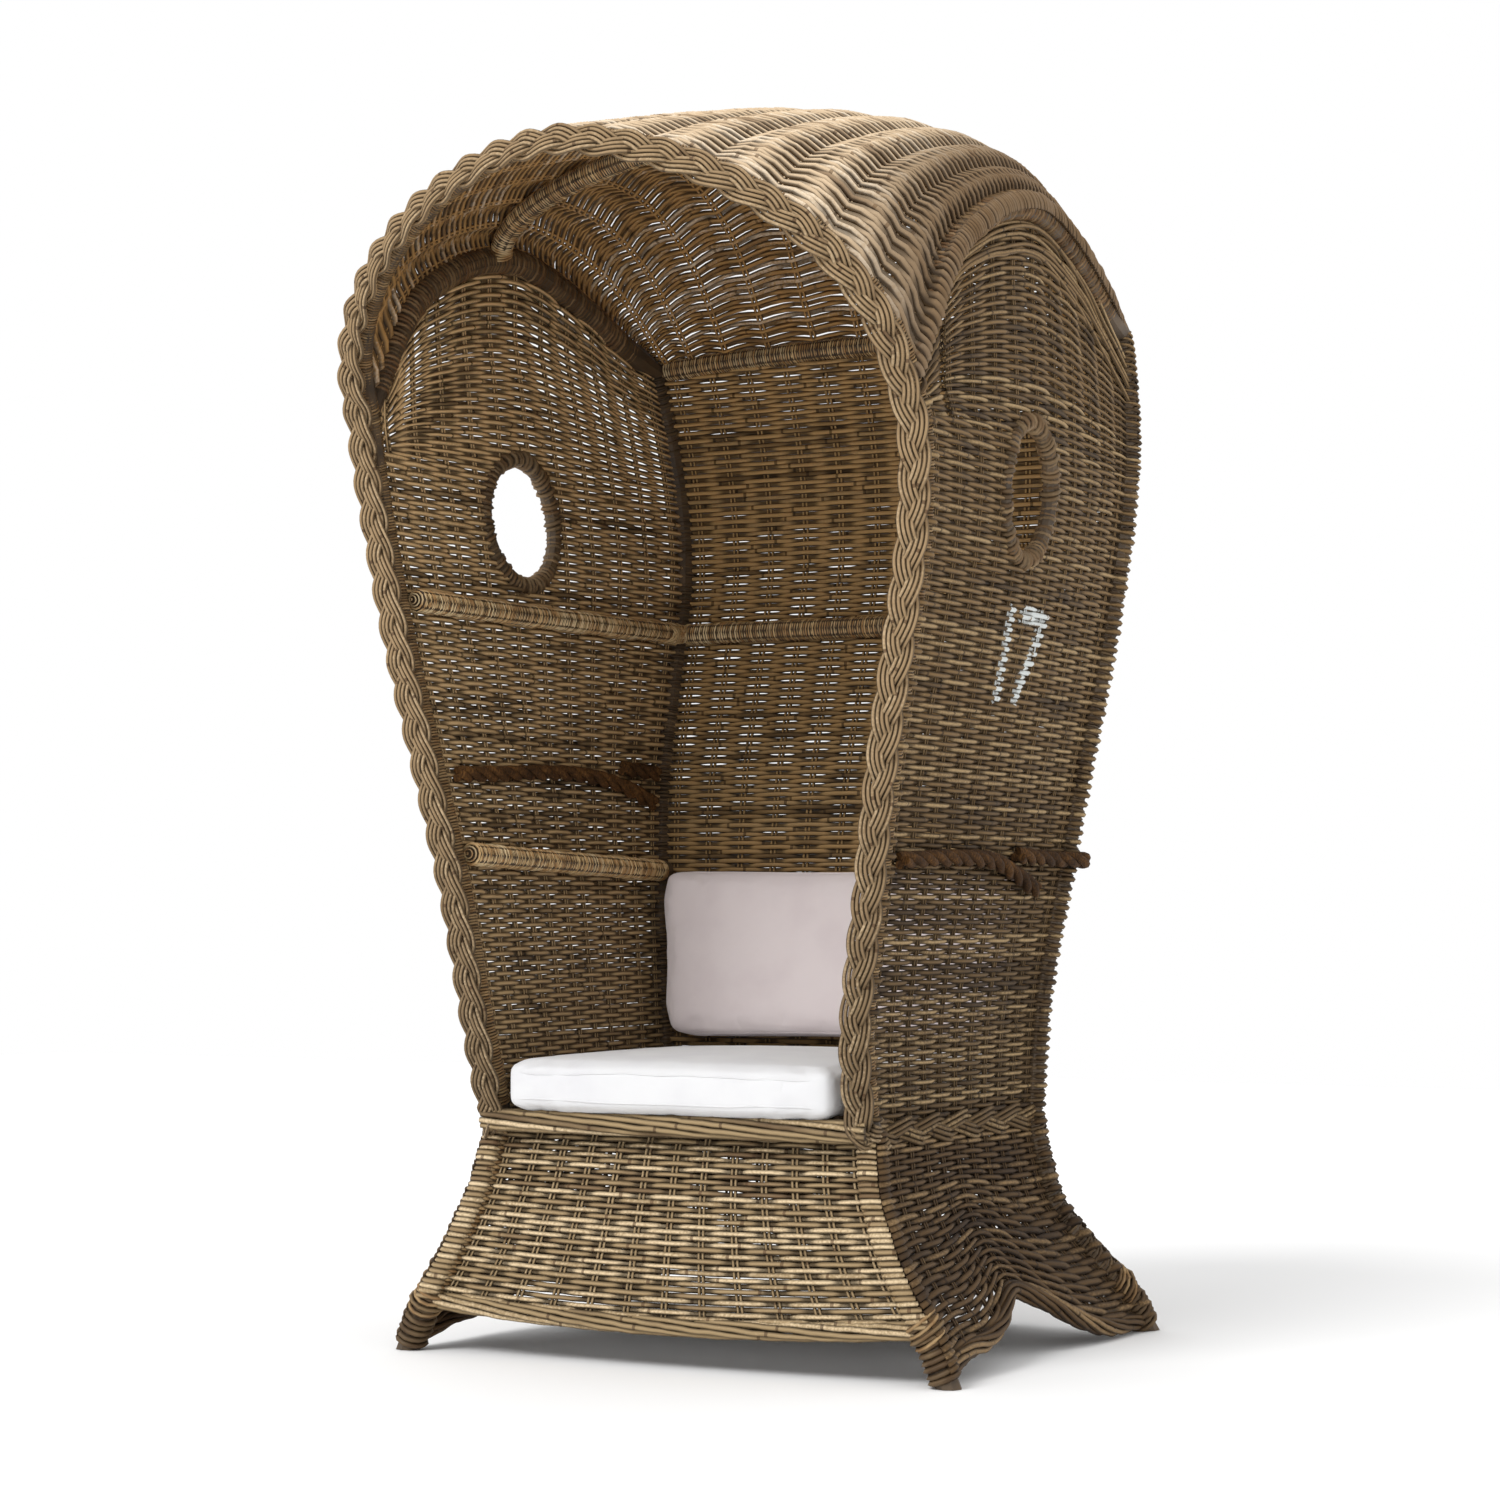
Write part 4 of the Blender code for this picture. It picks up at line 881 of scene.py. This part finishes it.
def wind(path, facing, name, finish, turnRadius, pitch, caneRadius=0.0032, girth=1.0, tilt=0.1, seed=1,
         closed=False, sides=12, stray=0.05):
    guides = Guides()
    guides.add(path, facing, 0.5, 0.0, girth, closed)
    return grow(windings, guides, name, finish, turnRadius=turnRadius, pitch=pitch, caneRadius=caneRadius,
                tilt=tilt, seed=seed, turnSides=sides, stray=stray)


def bothSides(make, path, facing, name, finish, node=None, slot="cane", **sizes):  # on the right and left
    facing = np.broadcast_to(np.asarray(facing, float), np.asarray(path).shape)
    for side, flip in (("Right", np.asarray), ("Left", mirrored)):
        made = make(flip(path), flip(facing), name + side, finish, **sizes)
        place(made, *([f"{node}_{side.lower()}"] if node else []), slot=slot)


# Poles and their windings
postTurns = dict(turnRadius=0.0160, pitch=0.0069, stray=0.08)
postPath = [rearPole(z) for z in steps(0.012, lines["backCorner"], 90)]
bothSides(wind, postPath, np.array((1, 1, 0)) / math.sqrt(2), "postTurns", "post", **postTurns)

rollTurns = dict(turnRadius=0.0184, pitch=0.0075, caneRadius=0.0035, stray=0.07)
rollShares = steps(0.985, 0.03, 60)
rollGirth = np.array([rollRadius(s) / lines["rollRadius"] for s in rollShares])
bothSides(wind, [sideArch(s) for s in rollShares], (0.7, 0, 0.7), "rollTurns", "roll", slot="pale_cane",
          girth=rollGirth, **rollTurns)

legTurns = dict(turnRadius=0.0162, pitch=0.0069)
feet = dict(top=0.080, start=0.013, upright=0.014, loopBelow=0.018, loopAbove=0.006,
            girth=np.linspace(1.12, 1, 13))
footTurns = dict(turnRadius=0.0178, pitch=0.0090, caneRadius=0.0046, tilt=0.24, seed=5, stray=0.05)
footLoops = dict(turnRadius=0.0230, pitch=0.0085, caneRadius=0.0034, tilt=0.4, seed=9, stray=0.12)
bothSides(wind, [frontPole(z) for z in steps(feet["top"], waist, 30)], (0.6, -0.8, 0), "legTurns", "hoop",
          **legTurns)
for label, foot, facing in (("front", frontPole, (0.6, -0.8, 0)), ("rear", rearPole, (0.6, 0.8, 0))):
    footPath = [(*foot(max(z, feet["upright"]))[:2], z) for z in steps(feet["start"], feet["top"], 12)]
    bothSides(wind, footPath, facing, label + "FootTurns", "post", girth=feet["girth"], **footTurns)
    loops = steps(feet["top"] - feet["loopBelow"], feet["top"] + feet["loopAbove"], 4)
    bothSides(wind, [foot(z) for z in loops], facing, label + "FootLoops", "hoop", **footLoops)

hoopTurns = dict(turnRadius=0.0118, pitch=0.0042, caneRadius=0.0020, tilt=0.04, sides=10)
rimPoints = [np.array(rimSide(z)) for z in steps(waist + 0.02, spring, 40)[:-1]]
rimPoints += [rimArch(a) for a in steps(math.pi / 2, -math.pi / 2, 60)]
rimPoints += [mirrored(p) for p in reversed(rimPoints[:40])]
rimPoints = np.array(rimPoints)
toRear = [(0, 1, 0.25 * max(p[2] - spring, 0) / 0.3) for p in rimPoints]
behindRim = frameOf(rimPoints, toRear)[1]
place(wind(rimPoints + behindRim * setback, (0, -1, 0), "hoopTurns", "hoop", **hoopTurns))

# The plait looks forwards, up over the arch and a little out on the right; its ends turn out at the waist
rimPlait = dict(period=0.150, halfWidth=0.0104, halfDepth=0.0056, canes=4, caneRadius=0.0029)
rimLook = dict(outwards=0.9, upwards=0.9, upFrom=1.2)
rimFacing = np.array([(max(p[0], 0) * rimLook["outwards"], -1,
                       rimLook["upwards"] * max(p[2] - rimLook["upFrom"], 0)) for p in rimPoints])
turnOut = np.array([(0.017, 0.034, -0.004), (0.017, 0.020, -0.010), (0.011, 0.007, -0.012),
                    (0.004, -0.001, -0.006)]) + rimSide(waist + 0.006)
rimPoints = np.vstack([turnOut, rimPoints, mirrored(turnOut[::-1])])
rimFacing = np.vstack([rimFacing[:1].repeat(4, 0) + (1, 0, 0), rimFacing,
                       rimFacing[-1:].repeat(4, 0) - (1, 0, 0)])
place(plait(rimPoints, rimFacing, "rimPlait", "braid", **rimPlait), "rim_braid", slot="pale_cane")
print("stage: poles wound and rim plaited")

rails = dict(midHeight=1.055, lowFront=0.700, lowRear=0.680, crossShare=0.42, closing=0.12)
railTurns = dict(turnRadius=0.0145, pitch=0.0040, caneRadius=0.0020, tilt=0.03)
lashings = dict(turnRadius=0.0172, pitch=0.0052, caneRadius=0.0017, sides=14)
railInset = lines["weaveHalf"] + lines["railRadius"] - lines["settle"]
railGirth = np.append(rails["closing"], np.ones(48))  # the windings close over the front end
midPath = np.array([sideWall(s, rails["midHeight"]) for s in steps(0.0, 0.95, 48)]) - (railInset, 0, 0)
lowPath = np.array([sideWall(s, mix(rails["lowFront"], rails["lowRear"], s))
                    for s in steps(0.0, 0.94, 48)]) - (railInset, 0, 0)
for path, name in ((midPath, "midRailTurns"), (lowPath, "lowRailTurns")):
    bothSides(wind, path, (-1, 0, 0), name, "wound", girth=railGirth, **railTurns)
for name, lean in (("lashingUp", 0.62), ("lashingDown", -0.62)):  # crossed where the middle rails meet
    bothSides(wind, midPath[-3:], (-1, 0, 0), name, "wound", tilt=lean, **lashings)
backRail = np.array([backWall(a, rails["midHeight"]) for a in steps(-0.93, 0.93, 20)]) - (0, railInset, 0)
corner = rearPole(lines["backCorner"])
topRail = [(corner[0] * a, corner[1], mix(corner[2], lines["backRail"], 1 - a * a))
           for a in steps(-0.94, 0.94, 24)]
crossLine = []
for a in steps(-0.97, 0.97, 40):
    middle = roof(a, rails["crossShare"])
    alongX = roof(a + 0.01, rails["crossShare"]) - roof(a - 0.01, rails["crossShare"])
    alongY = roof(a, rails["crossShare"] + 0.01) - middle
    crossLine.append(middle - unit(np.cross(alongX, alongY)) * railInset)
for path, facing, name in ((backRail, (0, -1, 0), "backRailTurns"), (topRail, (0, 1, 0), "topRailTurns"),
                           (crossLine, (0, 0, -1), "crossHoopTurns")):
    place(wind(path, facing, name, "wound", **railTurns))

ringTurns = dict(turnRadius=0.0104, pitch=0.0082, caneRadius=0.0037, tilt=0.2, sides=10, stray=0.20)
ringPath = []
for turn in steps(0, 2 * math.pi, 64)[:-1]:
    y = porthole["y"] + porthole["halfWidth"] * math.cos(turn)
    z = porthole["height"] + porthole["halfHeight"] * math.sin(turn)
    front, rear = frontPole(z)[1], rearPole(z)[1]
    ringPath.append(sideWall((y - front) / (rear - front), z))
bothSides(wind, ringPath, (1, 0, 0), "portholeTurns", "ring", closed=True, **ringTurns)

# Long canes laid side by side over the wall, just under its roll
archCanes = dict(count=7, first=0.015, pitch=0.0086, proud=0.0070, ripple=0.0022, radius=0.0031,
                 stray=0.0062, tail=0.030, tailFrom=0.72, unevenness=0.0016)
for side, flip in (("Right", np.asarray), ("Left", mirrored)):
    guides = Guides()
    for k in range(archCanes["count"]):
        phase, sway = random.uniform(0, 2 * math.pi), random.uniform(0.5, 1) * archCanes["stray"]
        line = []
        for s in steps(0.02, 0.985, 80):
            tail = max(s - archCanes["tailFrom"], 0) / (1 - archCanes["tailFrom"])
            drop = k * archCanes["pitch"] + sway * math.sin(5 * s + phase)
            drop = archCanes["first"] + drop * min(1, 0.1 + 2.6 * s) + archCanes["tail"] * tail**2
            proud = archCanes["proud"] + archCanes["ripple"] * math.sin(7 * s + 2 * phase)
            line.append(sideWall(s, sideArch(s)[2] - drop) + (proud, 0, 0))
        guides.add(flip(line), flip((1, 0, 0)), random.random())
    place(grow(strands, guides, "archCanes" + side, "wall", caneRadius=archCanes["radius"], caneSides=6,
               unevenness=archCanes["unevenness"]))

# Hems, the bands at the waist and the seat's border
hemCanes = dict(count=7, radius=0.0098, caneRadius=0.0042)
hemFront, hemBack = ([face(a, frontHemHeight(a)) for a in steps(-0.97, 0.97, 60)]
                     for face in (skirtFront, skirtBack))
hemSide = [skirtSide(s, sideHemHeight(s)) for s in steps(0.02, 0.98, 80)]
place(bundle(hemFront, (0, -1, 0), "hemFrontCanes", "border", pitch=0.70, **hemCanes), "hem_front")
place(bundle(hemBack, (0, 1, 0), "hemBackCanes", "skirt", pitch=0.70, **hemCanes), "hem_back")
bothSides(bundle, hemSide, (1, 0, 0), "hemCanes", "skirt", node="hem", pitch=0.42, **hemCanes)

sidePlait = dict(period=0.25, halfWidth=0.0118, halfDepth=0.0046, canes=3, caneRadius=0.0034)
backPlait = dict(period=0.21, halfWidth=0.0105, halfDepth=0.0055, canes=3, caneRadius=0.0031)
frontBand = dict(count=6, radius=0.0105, caneRadius=0.0042, pitch=0.5)
waistSide = np.array([skirtSide(s, waist) for s in steps(0.0, 1.0, 30)]) + (0.006, 0, 0)
waistBack, waistFront = ([face(a, waist) for a in steps(-1, 1, 20)] for face in (skirtBack, skirtFront))
bothSides(plait, waistSide, (1, 0, 0), "waistPlait", "wall", node="waist_rail", **sidePlait)
place(plait(waistBack, (0, 1, 0), "waistPlaitBack", "skirt", **backPlait), "waist_rail_back")
place(bundle(waistFront, (0, -1, 0), "waistFrontCanes", "honey", **frontBand), "waist_rail_front")

border = dict(lift=0.006, past=0.012, forward=0.030)
borderCanes = dict(count=9, radius=0.0125, caneRadius=0.0044, pitch=0.95)
legTop = frontPole(waist)
borderPath = [(a * (legTop[0] + border["past"]), legTop[1] - border["forward"], waist + border["lift"])
              for a in steps(-1, 1, 24)]
place(bundle(borderPath, (0, -1, 0), "seatBorderCanes", "border", **borderCanes), "seat_border",
      slot="pale_cane")

# Rope grips, each of three strands laid together; rows of (share of the wall's depth, share of the drop)
ropeLay = dict(count=3, radius=0.0062, caneRadius=0.0061, pitch=0.105, spacing=0.004, sides=8)
grips = dict(outerHeight=0.692, outerDrop=0.042, innerHeight=0.823, innerDrop=0.038, runLift=0.027,
             clearance=0.001, backRun=0.06)
outerShares = ((0.042, 0.12), (0.2, 0.03), (0.35, 0), (0.46, 0), (0.54, 0.1), (0.62, 0.36), (0.71, 0.7),
               (0.79, 1))
outerRunShares = ((0.65, 0.5), (0.78, 0.55), (0.90, 0.6))
innerShares = ((0.05, 0.3), (0.2, 0.2), (0.4, 0.03), (0.58, 0), (0.72, 0.2), (0.83, 0.55), (0.92, 1))
innerRunShares = ((0.78, 0.35), (0.86, 0.42), (0.93, 0.5))
ropeProud = lines["weaveHalf"] + lines["ropeRadius"] - lines["settle"]


def ropeLine(rows, grip, proud, lift=0.0):
    dense = [(s, smooth(rows, s)[0]) for s in steps(rows[0][0], rows[-1][0], 30)]
    return np.array([sideWall(s, grips[grip + "Height"] - grips[grip + "Drop"] * fall + lift) + (proud, 0, 0)
                     for s, fall in dense])


cornerLine = list(ropeLine(outerRunShares, "outer", ropeProud, grips["runLift"]))
post = np.array(rearPole(cornerLine[-1][2]))
ropeBend = lines["legRadius"] + grips["clearance"] + lines["ropeRadius"]
cornerLine += [post + np.array((math.cos(t), math.sin(t), 0)) * ropeBend for t in steps(0, math.pi / 2, 10)]
cornerLine += [post + (-grips["backRun"] / 2, (ropeBend + ropeProud) / 2, 0),
               post + (-grips["backRun"], ropeProud, 0)]
for path, facing, name, node, finish in (
        (ropeLine(outerShares, "outer", ropeProud), (1, 0, 0), "outerRope", "outer_rope", "rope"),
        (ropeLine(innerShares, "inner", -ropeProud), (-1, 0, 0), "innerRope", "inner_rope", "shadedRope"),
        (ropeLine(innerRunShares, "inner", -ropeProud, grips["runLift"]), (-1, 0, 0), "innerRopeEnd",
         "inner_rope_end", "shadedRope"),
        (np.array(cornerLine), (0, 0, 1), "cornerRope", "outer_rope_corner", "rope")):
    bothSides(bundle, softened(path, 3), facing, name, finish, node, "rope", **ropeLay)
print("stage: rails, borders and ropes made")

# Cushions, blown up a little by Cloth; the swell is wider than it is deep or high
stuffing = dict(voxel=0.005, pressure=4.0, frames=20, cap=0.006, swell=0.006, swellShares=(1, 0.5, 0.2),
                fill=0.8)
seam = dict(radius=0.0013, inset=0.009, steps=150, reach=0.012, band=0.004)


def verticesOf(item):
    flat = np.empty(len(item.data.vertices) * 3, np.float32)
    item.data.vertices.foreach_get("co", flat)
    return flat.reshape(-1, 3).astype(float)


def applied(item):  # the modifiers' result becomes the mesh
    mesh = bpy.data.meshes.new_from_object(item.evaluated_get(bpy.context.evaluated_depsgraph_get()))
    item.modifiers.clear()
    item.data = mesh


def cushion(name, node, finish, slot):
    mesh = frame["nodes"][node].data.copy()
    item = added(name, mesh)
    form = bmesh.new()
    form.from_mesh(mesh)
    bmesh.ops.remove_doubles(form, verts=form.verts, dist=1e-5)
    form.to_mesh(mesh)
    form.free()
    remesh = item.modifiers.new("fill", 'REMESH')
    remesh.mode = 'VOXEL'
    remesh.voxel_size = stuffing["voxel"]
    remesh.use_smooth_shade = True
    applied(item)
    rest = verticesOf(item)
    cloth = item.modifiers.new("stuffing", 'CLOTH')
    cloth.settings.use_pressure = True
    cloth.settings.uniform_pressure_force = stuffing["pressure"]
    cloth.settings.effector_weights.gravity = 0
    cloth.point_cache.frame_end = stuffing["frames"]
    for step in range(1, stuffing["frames"] + 1):
        bpy.context.scene.frame_set(step)
    applied(item)
    bpy.context.scene.frame_set(1)
    moved = verticesOf(item) - rest
    far = np.linalg.norm(moved, axis=1, keepdims=True)
    moved *= np.minimum(1, stuffing["cap"] / np.maximum(far, 1e-9))
    normals = np.empty(rest.size, np.float32)
    item.data.vertices.foreach_get("normal", normals)
    moved += normals.reshape(-1, 3) * stuffing["swell"] * stuffing["swellShares"]
    item.data.vertices.foreach_set("co", (rest + moved).astype(np.float32).ravel())
    finer = item.modifiers.new("finer", 'SUBSURF')
    finer.levels = finer.render_levels = 1
    applied(item)
    item.data.materials.clear()
    item.data.materials.append(finishes[finish])
    item.data.shade_smooth()
    place(item, node, slot=slot)
    place(grow(strands, seamLines(verticesOf(item)), name + "Seams", finish, caneRadius=seam["radius"],
               caneSides=6, unevenness=0.0), slot=slot)


def seamLines(points):  # a sewn seam along the upper and the lower edge of the sides
    middle = points.mean(0)
    axes = np.linalg.svd(points - middle, full_matrices=False)[2]
    flat = (points - middle) @ axes.T
    half = np.abs(flat).max(0)
    angle = np.arctan2(flat[:, 1] / half[1], flat[:, 0] / half[0])
    slices = np.floor((angle / (2 * math.pi) + 0.5) * seam["steps"]).astype(int) % seam["steps"]
    rim = [np.flatnonzero(slices == k) for k in range(seam["steps"])]
    guides = Guides()
    for side in (-1, 1):
        line = []
        for part in rim:
            reach = np.linalg.norm(flat[part, :2], axis=1)
            outer = part[reach > reach.max() - seam["reach"]]
            level = (flat[outer, 2] * side).max() - seam["inset"]
            near = outer[np.abs(flat[outer, 2] * side - level) < seam["band"]]
            far = near[np.linalg.norm(flat[near, :2], axis=1).argmax()] if len(near) else outer[0]
            line.append(points[far])
        line = np.array(line)
        out = unit(line - middle)
        for _ in range(2):
            line = line * 0.5 + (np.roll(line, 1, 0) + np.roll(line, -1, 0)) * 0.25
        guides.add(line, out, closed=True)
    return guides


cushion("seatCushion", "seat_cushion", "white", "white_cloth")
cushion("backCushion", "back_cushion", "rose", "rose_cloth")
print("stage: cushions stuffed")

# The bare poles and slats that still show are the frame's own nodes
for item in frame["nodes"].values():
    if not item.hide_render:
        item.data.materials.clear()
        item.data.materials.append(finishes["pole"])

# Floor, light and camera
studio = dict(floorSize=14.0, floorGrey=0.9, sunStrength=1.75, sunAngle=0.5, sunTowards=(0.25, 0.95, -0.95),
              fillStrength=0.95)
floorMesh = bpy.data.meshes.new("floor")
half = studio["floorSize"] / 2
floorMesh.from_pydata([(-half, -half, 0), (half, -half, 0), (half, half, 0), (-half, half, 0)], [],
                      [(0, 1, 2, 3)])
floor = added("floor", floorMesh)
floor.location = (0, 0, -0.0005)
floorFinish = Finish("floorWhite", roughness=0.9)
floorFinish.shader.inputs["Base Color"].default_value = (*[studio["floorGrey"]] * 3, 1)
floorMesh.materials.append(floorFinish.material)

world = bpy.data.worlds.new("studioAir")
world.use_nodes = True
air = Nodes(world.node_tree)
sky = air.tree.nodes["Background"]
sky.inputs["Color"].default_value = (1, 1, 1, 1)
sky.inputs["Strength"].default_value = studio["fillStrength"]
seen = air.out('ShaderNodeBackground', {"Color": (1, 1, 1, 1), "Strength": 1.0})
rays = air.node('ShaderNodeLightPath').outputs
white = rays["Is Camera Ray"]
for key in ("Is Glossy Ray", "Is Transmission Ray"):
    white = air.out('ShaderNodeMath', {0: white, 1: rays[key]}, operation='MAXIMUM')
air.feed(air.tree.nodes["World Output"].inputs["Surface"],
         air.out('ShaderNodeMixShader', {0: white, 1: sky.outputs[0], 2: seen}))
bpy.context.scene.world = world

sun = bpy.data.lights.new("keyLight", 'SUN')
sun.energy = studio["sunStrength"]
sun.angle = studio["sunAngle"]
added("keyLight", sun).rotation_euler = Vector(studio["sunTowards"]).to_track_quat('-Z', 'Y').to_euler()

shot = dict(place=(2.2535, -4.2052, 0.631), turn=28.0, lens=81.12, shiftY=0.102)
eye = bpy.data.cameras.new("photoView")
eye.lens = shot["lens"]
eye.sensor_width = 36
eye.sensor_fit = 'HORIZONTAL'
eye.shift_y = shot["shiftY"]
viewer = added("photoView", eye)
viewer.location = shot["place"]
viewer.rotation_euler = (math.pi / 2, 0, math.radians(shot["turn"]))
bpy.context.scene.camera = viewer
bpy.context.scene.view_settings.view_transform = 'Standard'

print("stage: done")
